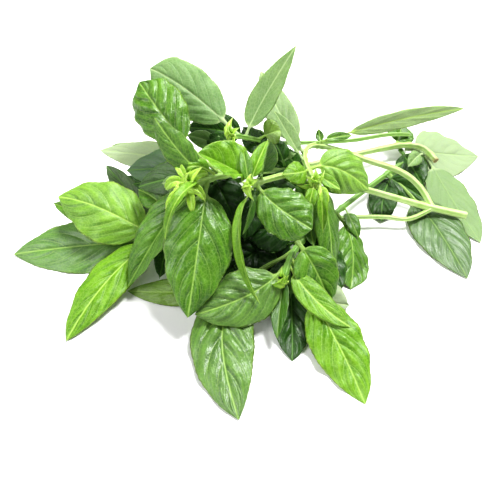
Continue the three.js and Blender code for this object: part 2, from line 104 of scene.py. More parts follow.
class Value:
    """A number socket that can stand in Python arithmetic."""

    __add__ = __radd__ = operation("ADD")
    __mul__ = __rmul__ = operation("MULTIPLY")
    __sub__ = operation("SUBTRACT")
    __rsub__ = operation("SUBTRACT", turned=True)
    __truediv__ = operation("DIVIDE")
    __pow__ = operation("POWER")
    __abs__ = operation("ABSOLUTE")
    sign = operation("SIGN")
    sine = operation("SINE")
    fraction = operation("FRACT")
    at_most = operation("MINIMUM")
    at_least = operation("MAXIMUM")

    def __init__(self, tree: "Tree", socket: Socket) -> None:
        """Wraps one output socket of a tree."""
        self.tree = tree
        self.socket = socket

    def rise(self, low: "Operand", high: "Operand") -> "Value":
        """A smooth step.

        Args:
            low: where the step starts, at nought.
            high: where it ends, at one.

        Returns:
            The height of the step.
        """
        settings = {"interpolation_type": "SMOOTHSTEP"}
        return self.tree.value("ShaderNodeMapRange", settings, {0: self, 1: low, 2: high})


Operand = Union[Value, Number]


class Tree:
    """Adds nodes to a material's tree or to a Geometry Nodes tree."""

    def __init__(self, tree: bpy.types.NodeTree) -> None:
        """Starts on an empty tree."""
        self.tree = tree
        self.tree.nodes.clear()

    def node(
        self, kind: str, settings: dict | None = None, sockets: dict | None = None
    ) -> bpy.types.Node:
        """Adds one node.

        Args:
            kind: the node's type.
            settings: its options, set before its sockets; a ramp's stops are under "stops".
            sockets: values or links, by the socket's name or number.

        Returns:
            The node.
        """
        made = self.tree.nodes.new(kind)
        for name, value in (settings or {}).items():
            if name == "stops":
                self._set_stops(made.color_ramp, value)
            else:
                setattr(made, name, value)
        for key, value in (sockets or {}).items():
            target = made.inputs[key]
            source = value.socket if isinstance(value, Value) else value
            if isinstance(source, Socket):
                self.tree.links.new(source, target)
            else:
                target.default_value = source
        return made

    @staticmethod
    def _set_stops(ramp: bpy.types.ColorRamp, stops: Sequence[tuple]) -> None:
        """Gives a ramp its stops, each a place and a colour."""
        while len(ramp.elements) < len(stops):
            ramp.elements.new(1.0)
        for element, (place, colour) in zip(ramp.elements, stops):
            element.position = place
            element.color = colour

    def value(
        self, kind: str, settings: dict | None = None, sockets: dict | None = None,
        output: int | str = 0,
    ) -> Value:
        """Adds one node and wraps one of its outputs."""
        return Value(self, self.node(kind, settings, sockets).outputs[output])

    def math(self, operation: str, *values: Operand) -> Value:
        """Adds a Math node."""
        sockets = dict(enumerate(values))
        return self.value("ShaderNodeMath", {"operation": operation}, sockets)

    def scaled(self, vector: Socket, by: Operand) -> Socket:
        """A vector made longer or shorter."""
        sockets = {0: vector, "Scale": by}
        return self.node("ShaderNodeVectorMath", {"operation": "SCALE"}, sockets).outputs[0]

    def summed(self, one: Socket, other: Socket) -> Socket:
        """Two vectors added."""
        sockets = {0: one, 1: other}
        return self.node("ShaderNodeVectorMath", {"operation": "ADD"}, sockets).outputs[0]

    def attribute(self, name: str) -> Value:
        """A number that the mesh carries at each point."""
        settings = {"attribute_name": name}
        return self.value("ShaderNodeAttribute", settings, output="Fac")

    def noise(
        self, place: Socket, scale: float, detail: float = 2.0, roughness: float = 0.5
    ) -> Value:
        """Soft random variation from 0 to 1."""
        sockets = {"Vector": place, "Scale": scale, "Detail": detail, "Roughness": roughness}
        return self.value("ShaderNodeTexNoise", None, sockets)

    def blend(self, share: Operand, one: object, other: object) -> Socket:
        """A colour between two colours.

        Args:
            share: how much of the second one, from 0 to 1.
            one: a colour or a colour socket.
            other: a colour or a colour socket.

        Returns:
            The mixed colour's socket.
        """
        settings = {"data_type": "RGBA", "clamp_factor": True}
        return self.node("ShaderNodeMix", settings, {0: share, 6: one, 7: other}).outputs[2]

    def layered(self, base: object, *layers: tuple) -> Socket:
        """Lays colours over a base in turn, each given by its share and its colour."""
        for share, colour in layers:
            base = self.blend(share, base, colour)
        return base

    def bump(self, height: Value, strength: float, distance: float) -> Socket:
        """A normal that leans with a height."""
        sockets = {"Strength": strength, "Distance": distance, "Height": height}
        return self.node("ShaderNodeBump", None, sockets).outputs[0]


def make_material(name: str, describe: Callable[[Tree], dict]) -> Material:
    """Makes a material with one Principled shader.

    Args:
        name: the material's name.
        describe: adds the nodes before the shader, and gives the shader's sockets.

    Returns:
        The finished material.
    """
    made = bpy.data.materials.new(name)
    made.use_nodes = True
    tree = Tree(made.node_tree)
    shader = tree.node("ShaderNodeBsdfPrincipled", None, describe(tree))
    tree.node("ShaderNodeOutputMaterial", None, {0: shader.outputs[0]})
    return made


def add_object(name: str, data: bpy.types.ID) -> Object:
    """Adds an object to the scene."""
    made = bpy.data.objects.new(name, data)
    bpy.context.scene.collection.objects.link(made)
    return made


class ShapeTree(Tree):
    """A Geometry Nodes tree with named inputs, ended by Realize Instances and Set Material."""

    def __init__(self, name: str, inputs: dict[str, object]) -> None:
        """Makes the tree's group and its inputs.

        Args:
            name: the group's name.
            inputs: each input's name and its starting value.
        """
        group = bpy.data.node_groups.new(name, "GeometryNodeTree")
        super().__init__(group)
        face = group.interface
        face.new_socket("Geometry", in_out="OUTPUT", socket_type="NodeSocketGeometry")
        face.new_socket("Geometry", in_out="INPUT", socket_type="NodeSocketGeometry")
        self.identifiers: dict[str, str] = {}
        for label, start in inputs.items():
            kind = {int: "NodeSocketInt", float: "NodeSocketFloat", tuple: "NodeSocketVector"}
            made = face.new_socket(label, in_out="INPUT", socket_type=kind[type(start)])
            made.default_value = start
            self.identifiers[label] = made.identifier
        finish = face.new_socket("Finish", in_out="INPUT", socket_type="NodeSocketMaterial")
        self.identifiers["Finish"] = finish.identifier
        self.entry = self.node("NodeGroupInput")

    @property
    def geometry(self) -> Socket:
        """The mesh that comes in."""
        return self.entry.outputs["Geometry"]

    def given(self, label: str) -> Value:
        """One of the tree's own inputs."""
        return Value(self, self.entry.outputs[label])

    def attribute(self, name: str) -> Value:
        """A number that the mesh carries at each point."""
        settings = {"data_type": "FLOAT"}
        return self.value("GeometryNodeInputNamedAttribute", settings, {"Name": name})

    def direction(self, name: str) -> Socket:
        """A vector that the mesh carries at each point."""
        settings = {"data_type": "FLOAT_VECTOR"}
        return self.node("GeometryNodeInputNamedAttribute", settings, {"Name": name}).outputs[0]

    def close(self, geometry: Socket) -> None:
        """Ends the tree."""
        real = self.node("GeometryNodeRealizeInstances", None, {0: geometry})
        finish = {0: real.outputs[0], "Material": self.entry.outputs["Finish"]}
        dressed = self.node("GeometryNodeSetMaterial", None, finish)
        self.node("NodeGroupOutput", None, {0: dressed.outputs[0]})

    def close_moved(self, offset: Socket) -> None:
        """Moves the points of the mesh that comes in, and ends the tree."""
        sockets = {"Geometry": self.geometry, "Offset": offset}
        self.close(self.node("GeometryNodeSetPosition", None, sockets).outputs[0])

    def grow(
        self, mesh: Mesh, name: str, finish: Material, sizes: dict[str, object]
    ) -> Object:
        """Runs the tree on a mesh and keeps the result as a plain mesh.

        Args:
            mesh: what goes in.
            name: the new piece's name.
            finish: its material.
            sizes: values of the tree's inputs.

        Returns:
            The finished object, at the origin.
        """
        carrier = add_object(name, mesh)
        modifier = carrier.modifiers.new(self.tree.name, "NODES")
        modifier.node_group = self.tree
        for label, value in {**sizes, "Finish": finish}.items():
            modifier[self.identifiers[label]] = value
        graph = bpy.context.evaluated_depsgraph_get()
        grown = bpy.data.meshes.new_from_object(carrier.evaluated_get(graph), depsgraph=graph)
        carrier.modifiers.clear()
        carrier.data = grown
        grown.name = name
        bpy.data.meshes.remove(mesh)
        return carrier


# ---- finishes


@dataclass(frozen=True)
class VeinPlan:
    """How the side veins of a blade run."""

    slant: float = 0.27
    forward: float = 0.2
    stagger: float = 0.16

    def phase(self, tree: Tree) -> Value:
        """Counts the veins along a blade.

        Args:
            tree: the tree that the nodes go in.

        Returns:
            A number that is whole on each side vein.
        """
        across = tree.attribute("across")
        reach = abs(across)
        start = tree.attribute("along") - reach * (self.slant + reach * self.forward)
        return start * tree.attribute("pairs") + across.sign() * self.stagger + 8.0

    def streaks(self, tree: Tree, place: Socket, dense: float, short: float) -> Value:
        """Fine uneven streaks that run beside the side veins.

        Args:
            tree: the tree that the nodes go in.
            place: where each point is.
            dense: streaks between two side veins.
            short: how many streaks follow each other in a metre of vein.

        Returns:
            A number from 0 to 1.
        """
        outward = abs(tree.attribute("across")) * tree.attribute("half") * short
        apart = tree.value("ShaderNodeSeparateXYZ", None, {0: place}, 0) * 20.0
        way = tree.node(
            "ShaderNodeCombineXYZ", None, {0: self.phase(tree) * dense, 1: outward, 2: apart}
        )
        return tree.noise(way.outputs[0], 1.0, 1.0).rise(0.32, 0.68)


VEINS = VeinPlan()


@dataclass(frozen=True)
class LeafFinish:
    """The skin of a basil leaf: a glossy, veined upper side and a paler matte underside."""

    name: str
    # deep and fresh are the darker and lighter greens of the upper side; the mix between them
    # carries the leaf's own mottling and also painted light and shade on the quilting
    deep: tuple
    fresh: tuple
    vein: tuple
    under: tuple
    roughness: float = 0.36
    glow: float = 0.12
    shine: float = 0.5
    streaky: float = 1.0
    warm: tuple = (0.45, 0.62, 0.09, 1.0)
    cool: tuple = (0.05, 0.2, 0.09, 1.0)
    frosted: tuple = (0.4, 0.45, 0.31, 1.0)
    glow_reach: tuple = (0.6, 1.0, 0.15)
    refraction: float = 1.42
    net_scale: float = 520.0
    cloud_scale: float = 70.0
    grain_scale: float = 1400.0

    def material(self) -> Material:
        """Builds the material."""
        return make_material(self.name, self._describe)

    def _describe(self, tree: Tree) -> dict:
        """Adds the veins, the fine net between them, the colours, and painted light on the
        quilting: lighter bulges, painted shade by the veins and painted highlight streaks.

        Args:
            tree: the material's tree.

        Returns:
            The shader's sockets.
        """
        place = tree.node("ShaderNodeTexCoord").outputs["Object"]
        reach = abs(tree.attribute("across"))
        along = tree.attribute("along")
        rib_way = reach * tree.attribute("half")
        upper = tree.attribute("side").rise(0.35, 0.65)
        blade = along.rise(0.0, 0.03)
        stalk = 1.0 - along.rise(0.0, 0.05)

        from_middle = abs(VEINS.phase(tree).fraction() - 0.5)
        near_vein = from_middle.rise(0.455, 0.5)
        inside = 1.0 - reach.rise(0.72, 0.97)
        midrib = 1.0 - rib_way.rise(0.15 * MM, 0.6 * MM)
        veins = (near_vein * inside * 0.7).at_least(midrib * 0.85) * blade

        net = tree.value(
            "ShaderNodeTexVoronoi", {"feature": "DISTANCE_TO_EDGE"},
            {"Vector": place, "Scale": self.net_scale}, "Distance",
        )
        mesh_work = 1.0 - net.rise(0.0, 0.16)
        clouds = tree.noise(place, self.cloud_scale, 3.0, 0.55)
        grain = tree.noise(place, self.grain_scale)
        # fine streaks beside the veins: in the colour they are painted highlight streaks, in the
        # bump a real fine crinkle
        streaks = VEINS.streaks(tree, place, 4.5, 130.0) * self.streaky
        # painted light and shade on the quilting: the skin is lighter in the middle of each bulge
        # and darker by the veins, where the grooves lie in shade
        painted_bulge_light = (1.0 - from_middle * 2.0).rise(0.0, 0.8)
        depth = clouds.rise(0.3, 0.72) * 0.36 + painted_bulge_light * 0.28 + streaks * 0.3 + grain * 0.06

        warmth = tree.attribute("warmth")
        frost = tree.attribute("frost")
        skin = tree.layered(
            self.deep,
            (depth, self.fresh),
            (warmth.at_least(0.0), self.warm),
            ((warmth * -1.0).at_least(0.0), self.cool),
            (frost * 0.8, self.frosted),
            (mesh_work * 0.16 * blade, self.vein),
            (reach.rise(0.9, 1.0) * blade * 0.3, self.vein),
            (veins * 0.55, self.vein),
            (midrib * blade * 0.35, self.vein),
            # painted shade: the leaf's shade value takes the skin towards its deep colour
            (tree.attribute("shade"), self.deep),
            (stalk * 0.8, self.vein),
        )
        back = tree.layered(
            self.under,
            (clouds.rise(0.3, 0.75) * 0.5, self.vein),
            (veins * 0.7, self.vein),
            (mesh_work * 0.25, self.fresh),
        )

        rough = self.roughness + clouds * 0.14 + grain * 0.06 + veins * 0.08
        rough = rough + (1.0 - upper) * 0.3 + frost * 0.15
        height = mesh_work * -0.5 + grain * 0.22 + veins * (upper * -2.0 + 1.0) * 0.6
        height = height + streaks * (upper * 1.1 + 0.2)
        return {
            "Base Color": tree.blend(upper, back, skin),
            "Roughness": rough,
            "Normal": tree.bump(height, 0.5, 0.16 * MM),
            "IOR": self.refraction,
            "Subsurface Weight": self.glow,
            "Subsurface Radius": self.glow_reach,
            "Subsurface Scale": 1.2 * MM,
            "Specular IOR Level": self.shine,
        }


@dataclass(frozen=True)
class StemFinish:
    """The skin of a juicy green stem, and the pith of its cut end."""

    name: str = "stem skin"
    pale: tuple = (0.58, 0.7, 0.34, 1.0)
    green: tuple = (0.3, 0.5, 0.1, 1.0)
    pith: tuple = (0.78, 0.82, 0.55, 1.0)
    bruised: tuple = (0.3, 0.19, 0.08, 1.0)
    leafy: tuple = (0.09, 0.24, 0.025, 1.0)
    glow: float = 0.15
    glow_reach: tuple = (0.8, 1.0, 0.3)
    streak_scale: float = 160.0
    grain_scale: float = 1500.0

    def material(self) -> Material:
        """Builds the material."""
        return make_material(self.name, self._describe)

    def _describe(self, tree: Tree) -> dict:
        """Adds the streaks, the green between the ridges and the cut end's colours; the pale ridges
        and green grooves are partly the stem's own colour, partly painted highlight on the ridges
        and painted shade in the grooves.

        Args:
            tree: the material's tree.

        Returns:
            The shader's sockets.
        """
        place = tree.node("ShaderNodeTexCoord").outputs["Object"]
        streaks = tree.noise(place, self.streak_scale, 3.0, 0.6)
        grain = tree.noise(place, self.grain_scale)
        young = tree.attribute("along").rise(0.35, 1.0)
        hollow = 1.0 - tree.attribute("ridge")
        cut = tree.attribute("cut")
        skin = tree.layered(
            self.pale,
            # pale on the ridges, greener in the grooves: partly the stem's own colour, partly
            # painted ridge highlight and painted groove shade
            (streaks.rise(0.35, 0.75) * 0.45 + young * 0.4 + hollow * 0.6, self.green),
            (tree.attribute("swell") * 0.35, self.green),
            (tree.attribute("leafy"), self.leafy),
            (cut, tree.blend(streaks * 0.5, self.pith, self.pale)),
            (tree.attribute("bruise"), self.bruised),
        )
        return {
            "Base Color": skin,
            "Roughness": 0.36 + streaks * 0.14 + cut * 0.3,
            "Normal": tree.bump(grain * 0.5 + streaks, 0.4, 0.15 * MM),
            "Subsurface Weight": self.glow,
            "Subsurface Radius": self.glow_reach,
            "Subsurface Scale": 1.5 * MM,
        }


class Tone(Enum):
    """The leaf finishes, by the material slot that each one stands for."""

    BRIGHT = "leaf_bright"
    MID = "leaf_mid"
    DARK = "leaf_dark"
    PALE = "leaf_pale"
    TUFT = "tuft"

    @property
    def finish(self) -> LeafFinish:
        """The finish of this tone."""
        return FINISHES[self]


FINISHES = {
    Tone.BRIGHT: LeafFinish(
        "bright leaf", (0.04, 0.14, 0.003, 1), (0.17, 0.355, 0.011, 1), (0.4, 0.58, 0.12, 1),
        (0.28, 0.44, 0.11, 1), 0.33, 0.14,
    ),
    Tone.MID: LeafFinish(
        "green leaf", (0.009, 0.055, 0.002, 1), (0.1, 0.245, 0.013, 1),
        (0.3, 0.47, 0.1, 1), (0.22, 0.36, 0.12, 1), 0.26, 0.09, 0.6,
    ),
    # a darker green; its very dark colours also stand as painted shade for the leaves deep in the
    # bunch
    Tone.DARK: LeafFinish(
        "deep leaf", (0.002, 0.014, 0.001, 1), (0.022, 0.088, 0.004, 1), (0.11, 0.24, 0.04, 1),
        (0.13, 0.24, 0.08, 1), 0.27, 0.04, 0.4,
    ),
    Tone.PALE: LeafFinish(
        "pale leaf", (0.1, 0.195, 0.052, 1), (0.2, 0.31, 0.105, 1), (0.39, 0.5, 0.24, 1),
        (0.36, 0.47, 0.245, 1), 0.46, 0.14, 0.5, 0.4,
    ),
    Tone.TUFT: LeafFinish(
        "young leaf", (0.14, 0.32, 0.01, 1), (0.45, 0.7, 0.08, 1), (0.62, 0.82, 0.26, 1),
        (0.42, 0.6, 0.14, 1), 0.36, 0.2, 0.5,
    ),
}


# ---- reading the part


def unit(vectors: Points) -> Points:
    """Vectors at length one."""
    length = np.linalg.norm(vectors, axis=-1, keepdims=True)
    return vectors / np.maximum(length, 1e-12)


def follow(stations: Points, at: Points, wanted: Points) -> Points:
    """Runs a smooth line through stations.

    Args:
        stations: values, one row for each station.
        at: where each station stands, rising.
        wanted: where values are wanted.

    Returns:
        One row for each wanted place.
    """
    slopes = np.gradient(stations, at, axis=0)
    i = np.clip(np.searchsorted(at, wanted, side="right") - 1, 0, len(at) - 2)
    gap = (at[i + 1] - at[i])[:, None]
    t = (wanted - at[i])[:, None] / gap
    return (
        stations[i] * (2 * t**3 - 3 * t**2 + 1)
        + slopes[i] * gap * (t**3 - 2 * t**2 + t)
        + stations[i + 1] * (3 * t**2 - 2 * t**3)
        + slopes[i + 1] * gap * (t**3 - t**2)
    )


def lengths_along(line: Points) -> Points:
    """How far each point of a line is from its start."""
    return np.concatenate([[0.0], np.cumsum(np.linalg.norm(np.diff(line, axis=0), axis=1))])


@dataclass
class RingWalk:
    """Reads the rings of points of a lofted CAD node, from its foot to its tip."""

    node: Object
    sides: int = 8
    weld: float = 3e-6

    def read(self) -> tuple[Points, Points, Points]:
        """Walks the node.

        Returns:
            The foot point, the rings (ring, side, xyz) and the tip point.
        """
        merged = bmesh.new()
        merged.from_mesh(self.node.data)
        bmesh.ops.remove_doubles(merged, verts=merged.verts, dist=self.weld)
        places = np.array([v.co for v in merged.verts], float)
        faces = [[v.index for v in f.verts] for f in merged.faces]
        merged.free()
        beyond = {}
        fans: dict[int, dict[int, int]] = {}
        for a, b, c in faces:
            for p, q, r in ((a, b, c), (b, c, a), (c, a, b)):
                beyond[(p, q)] = r
                fans.setdefault(p, {})[r] = q
        poles = [v for v, fan in fans.items() if len(fan) == self.sides]
        foot = max(poles, key=lambda v: self._roundness(places, fans[v]))
        ring = self._first_ring(places, fans[foot])
        rings = [ring]
        while True:
            ahead = [beyond[(ring[j], ring[(j + 1) % self.sides])] for j in range(self.sides)]
            if len(set(ahead)) == 1:
                break
            ring = [ahead[j - 1] for j in range(self.sides)]
            rings.append(ring)
        return places[foot], places[np.array(rings)], places[ahead[0]]

    @staticmethod
    def _roundness(places: Points, fan: dict[int, int]) -> float:
        """How round, and then how thick, the ring at a pole is."""
        ring = places[list(fan)]
        far = np.linalg.norm(ring - ring.mean(0), axis=1)
        return float(far.min() / far.max()) + float(far.max())

    def _first_ring(self, places: Points, fan: dict[int, int]) -> list[int]:
        """The ring at the foot, from its upper point on."""
        ring = [next(iter(fan))]
        while len(ring) < self.sides:
            ring.append(fan[ring[-1]])
        middle = places[ring].mean(0)
        upper = int(np.argmin(np.linalg.norm(places[ring] - middle, axis=1)))
        return ring[upper:] + ring[:upper]


# ---- closed shells


def closed_tube(loops: Points, start: Points, end: Points) -> Mesh:
    """Makes a closed mesh of loops of points, drawn together at both ends.

    Args:
        loops: points (loop, point, xyz); seen from the end, each loop runs clockwise.
        start: the point that closes the first loop.
        end: the point that closes the last loop.

    Returns:
        The mesh, its faces pointing outwards.
    """
    rows, count = loops.shape[:2]
    places = np.concatenate([loops.reshape(-1, 3), [start], [end]])
    row, column = np.meshgrid(np.arange(rows - 1), np.arange(count), indexing="ij")
    beside = (column + 1) % count
    near, near_next = row * count + column, row * count + beside
    quads = np.stack([near, near_next, near_next + count, near + count], -1).reshape(-1, 4)
    first = [(rows * count, (j + 1) % count, j) for j in range(count)]
    base = (rows - 1) * count
    last = [(base + j, base + (j + 1) % count, rows * count + 1) for j in range(count)]
    mesh = bpy.data.meshes.new("shell")
    mesh.from_pydata(places.tolist(), [], quads.tolist() + first + last)
    mesh.polygons.foreach_set("use_smooth", [True] * len(mesh.polygons))
    return mesh


def carry(mesh: Mesh, **values: Points) -> None:
    """Stores numbers or vectors at the points of a mesh.

    Args:
        mesh: the mesh.
        **values: one array for each attribute, a row for each point.
    """
    for name, rows in values.items():
        kind, key = ("FLOAT", "value") if rows.ndim == 1 else ("FLOAT_VECTOR", "vector")
        made = mesh.attributes.new(name, kind, "POINT")
        made.data.foreach_set(key, rows.astype(np.float32).ravel())


@dataclass
class LeafForm:
    """The middle surface of a leaf: its midrib, and how both halves stand off it."""

    rib: Points
    at: Points
    base: float
    right: Points
    left: Points
    up: Points
    belly_right: Points
    belly_left: Points
    fullness: Points
    base_power: float = 0.55
    tip_power: float = 0.95
    least_height: float = 0.8 * MM

    @classmethod
    def from_rings(cls, foot: Points, rings: Points, tip: Points) -> "LeafForm":
        """Reads a form from a CAD leaf.

        Args:
            foot: the foot pole.
            rings: rings of eight points, the first three round the stalk.
            tip: the tip.

        Returns:
            The form.
        """
        middle = (rings[:, 0] + rings[:, 4]) / 2
        middle[:3] = (rings[:3, 2] + rings[:3, 6]) / 2
        right = rings[:, 2] - middle
        left = rings[:, 6] - middle
        wide = (np.linalg.norm(right, axis=1) + np.linalg.norm(left, axis=1)) / 2
        bellies = [
            (rings[:, i] + rings[:, j]) / 2 - middle - half / 2
            for i, j, half in ((1, 3, right), (5, 7, left))
        ]
        for belly in bellies:
            belly[:3] = 0
        rib = np.vstack([middle, tip])
        span = lengths_along(rib)
        base = span[2] / span[-1]
        share = (span[3:-1] / span[-1] - base) / (1 - base)
        fullness = np.stack([share, wide[3:] / cls._outline(share)], 1)

        def to_tip(rows: Points) -> Points:
            """Repeats the last ring's value at the tip."""
            return np.vstack([rows, rows[-1:]])

        up = unit(rings[:, 0] - rings[:, 4])
        return cls(
            rib, span / span[-1], base, to_tip(unit(right)), to_tip(unit(left)), to_tip(up),
            to_tip(bellies[0]), to_tip(bellies[1]), fullness,
        )

    @classmethod
    def from_plan(cls, plan: "LeafPlan") -> "LeafForm":
        """Bends a midrib between a foot and a tip, and stands the blade off it.

        Args:
            plan: the leaf's places and sizes.

        Returns:
            The form.
        """
        foot = (np.array(plan.foot, float) + PLAN_ORIGIN) * MM
        tip = (np.array(plan.tip, float) + PLAN_ORIGIN) * MM
        onward = tip - foot
        near, far = (
            foot + onward * share + np.array([0.0, 0.0, arch]) * MM
            for share, arch in zip((1 / 3, 2 / 3), plan.arch)
        )
        t = np.linspace(0, 1, 13)[:, None]
        rib = (
            foot * (1 - t) ** 3 + near * 3 * t * (1 - t) ** 2
            + far * 3 * t**2 * (1 - t) + tip * t**3
        )
        rib[:, 2] = np.maximum(rib[:, 2], cls.least_height)
        span = lengths_along(rib)
        tangent = unit(np.gradient(rib, axis=0))
        face = np.array(plan.face, float)
        up = unit(face - tangent * (tangent @ face)[:, None])
        right = np.cross(tangent, up)
        fold = math.radians(plan.fold)
        folded = up * math.sin(fold)
        half = plan.width / 2 * MM
        belly = up * plan.curl * half
        share = np.linspace(0, 1, 9)
        peak = cls._outline(np.linspace(0, 1, 200)).max()
        fullness = np.stack([share, half / peak * (share < 1)], 1)
        return cls(
            rib, span / span[-1], plan.stalk, right * math.cos(fold) + folded,
            folded - right * math.cos(fold), up, belly, belly, fullness,
        )

    @classmethod
    def _outline(cls, share: Points) -> Points:
        """How wide a basil blade is, before its own fullness."""
        share = np.clip(share, 0, 1)
        return share**cls.base_power * (1 - share) ** cls.tip_power

    @property
    def length(self) -> float:
        """Length of stalk and blade together, in metres."""
        return float(lengths_along(self.rib)[-1])

    def half_width(self, share: Points) -> Points:
        """Half the blade's width at shares of its length."""
        full = np.interp(share, self.fullness[:, 0], self.fullness[:, 1])
        return full * self._outline(share)


@dataclass(frozen=True)
class LeafPlan:
    """A small leaf that has no CAD node: places and sizes in millimetres."""

    name: str
    tone: "Tone"
    foot: tuple
    tip: tuple
    width: float
    face: tuple = (0.0, -0.6, 0.8)
    arch: tuple = (3.0, 2.0)
    fold: float = 8.0
    curl: float = 0.05
    stalk: float = 0.1
    shade: float = 0.0
    frost: float = 0.0


@dataclass
class LeafShell:
    """A thin closed leaf: blade, midrib keel and round stalk."""

    form: LeafForm
    step: float = 0.75 * MM
    blade: float = 0.36 * MM
    stalk: float = 0.8 * MM
    rib_end: float = 0.22 * MM
    foot_flare: float = 1.35
    sunk: float = 1.9 * MM
    stalk_blend: float = 0.1
    stalk_step: float = 1.2 * MM
    usual_half: float = 9 * MM
    full_half: float = 3 * MM
    most_rows: int = 96
    most_columns: int = 26

    def build(
        self, pairs: float, warmth: float, frost: float = 0.0, shade: float = 0.0
    ) -> Mesh:
        """Builds the shell with what its relief and its finish read.

        Args:
            pairs: pairs of side veins.
            warmth: towards yellow above nought, towards blue below.
            frost: how pale and dull the skin is, from 0 to 1.
            shade: how far the skin goes to its deep colour, from 0 to 1: painted shade on the
                leaves deep in the bunch, a darker colour on the others.

        Returns:
            A closed mesh with its attributes.
        """
        share, place, blade_share = self._rows()
        columns = int(np.clip(self._widest() / self.step, 9, self.most_columns))
        v = np.linspace(-1, 1, 2 * columns + 1)
        bladed = np.clip(blade_share / self.stalk_blend, 0, 1)
        bladed = bladed * bladed * (3 - 2 * bladed)
        radius = self._rib_radius(share, blade_share)
        half = np.maximum(self.form.half_width(np.clip(blade_share, 0, 1)), radius)
        reach = self._reach(v, bladed)
        surface = self._surface(place, half, reach)
        normal = self._normals(surface)
        x = np.abs(reach) * half[:, None]
        keel = np.sqrt(np.maximum(radius[:, None] ** 2 - x**2, 0))
        skin = self.blade / 2 * np.minimum(1, half[:, None] / self.full_half)
        flat = skin * (1 - np.abs(reach) ** 5) * bladed[:, None]
        above = np.maximum(keel * (1 - 0.8 * bladed[:, None]), flat)
        below = np.maximum(keel, flat)
        top = surface + normal * above[..., None]
        bottom = surface - normal * below[..., None]
        loops = np.concatenate([top, bottom[:, -2:0:-1]], 1)
        axis = unit(surface[1, columns] - surface[0, columns])
        start = surface[0, columns] - axis * self.stalk * 0.3
        mesh = closed_tube(loops, start, self.form.rib[-1])

        def round_loop(rows: Points) -> Points:
            """One value for each point of the closed mesh, from those of the middle surface."""
            looped = np.concatenate([rows, rows[:, -2:0:-1]], 1)
            flat_rows = looped.reshape(-1, *rows.shape[2:])
            return np.concatenate([flat_rows, rows[0, columns][None], rows[-1, columns][None]])

        side = np.zeros(loops.shape[:2])
        side[:, : 2 * columns + 1] = 1
        side[:, [0, 2 * columns]] = 0.5
        count = loops.shape[0] * loops.shape[1] + 2
        along = np.repeat(np.clip(blade_share, -1, 1)[:, None], len(v), 1)
        outward = unit(np.gradient(surface, axis=1)) * np.sign(v)[None, :, None]
        carry(
            mesh,
            along=round_loop(along),
            across=round_loop(reach),
            half=round_loop(np.repeat(half[:, None], len(v), 1)),
            side=np.concatenate([side.ravel(), [0.5, 0.5]]),
            pairs=np.full(count, pairs),
            warmth=np.full(count, warmth),
            frost=np.full(count, frost),
            shade=np.full(count, shade),
            lift=round_loop(normal),
            outward=round_loop(outward),
        )
        return mesh

    def _rows(self) -> tuple[Points, Points, Points]:
        """Where the rows stand: share of the whole, place on the midrib, share of the blade."""
        form = self.form
        count = int(np.clip(form.length * (1 - form.base) / self.step, 22, self.most_rows))
        t = np.linspace(0, 1, count + 1)[1:-1]
        blade = 0.5 * t + 0.5 * (1 - np.cos(np.pi * t)) / 2
        blade = np.concatenate([[0.004], blade, [0.996]])
        stalk_rows = int(np.clip(form.length * form.base / self.stalk_step, 4, 24))
        stalk = np.linspace(0, form.base, stalk_rows, endpoint=False)
        share = np.concatenate([stalk, form.base + (1 - form.base) * blade])
        place = follow(form.rib, form.at, share)
        back = -unit(place[1] - place[0])
        hidden = place[0] + back * np.linspace(self.sunk, self.sunk / 3, 3)[:, None]
        share = np.concatenate([[0.0, 0.0, 0.0], share])
        blade_share = (share - form.base) / (1 - form.base)
        return share, np.concatenate([hidden, place]), blade_share

    def _widest(self) -> float:
        """Half the width at the widest place."""
        return float(self.form.half_width(np.linspace(0, 1, 40)).max())

    def _rib_radius(self, share: Points, blade_share: Points) -> Points:
        """Radius of the stalk, and of the midrib that it turns into."""
        size = np.clip(self._widest() / self.usual_half, 0.45, 1.15)
        inside = np.clip(blade_share, 0, 1)
        radius = self.rib_end + (self.stalk * size - self.rib_end) * (1 - inside) ** 1.6
        flare = 1 + (self.foot_flare - 1) * np.clip(1 - share / 0.05, 0, 1)
        ending = np.sqrt(np.clip((1 - inside) / 0.06, 0.0, 1))
        return radius * flare * np.maximum(ending, 0.15)

    @staticmethod
    def _reach(v: Points, bladed: Points) -> Points:
        """Share of the half width at each column: round on the stalk, finer near the midrib."""
        stalk = np.sin(np.pi / 2 * v)[None, :]
        blade = (np.sign(v) * np.abs(v) ** 1.35)[None, :]
        return stalk + (blade - stalk) * bladed[:, None]

    def _surface(self, place: Points, half: Points, reach: Points) -> Points:
        """Points of the middle surface, a row for each place on the midrib."""
        form = self.form
        span = lengths_along(place)
        share = np.clip((span - self.sunk) / (span[-1] - self.sunk), 0, 1)
        right = unit(follow(form.right, form.at, share))[:, None]
        left = unit(follow(form.left, form.at, share))[:, None]
        belly_right = follow(form.belly_right, form.at, share)[:, None]
        belly_left = follow(form.belly_left, form.at, share)[:, None]
        out = np.abs(reach)[..., None]
        on_right = (reach > 0)[..., None]
        way = np.where(on_right, right, left)
        belly = np.where(on_right, belly_right, belly_left)
        return place[:, None] + way * out * half[:, None, None] + belly * 4 * out * (1 - out)

    @staticmethod
    def _normals(surface: Points) -> Points:
        """The upward normal at each point of a surface."""
        sideways = np.gradient(surface, axis=1)
        onward = np.gradient(surface, axis=0)
        return unit(np.cross(sideways, onward))


# ---- leaves


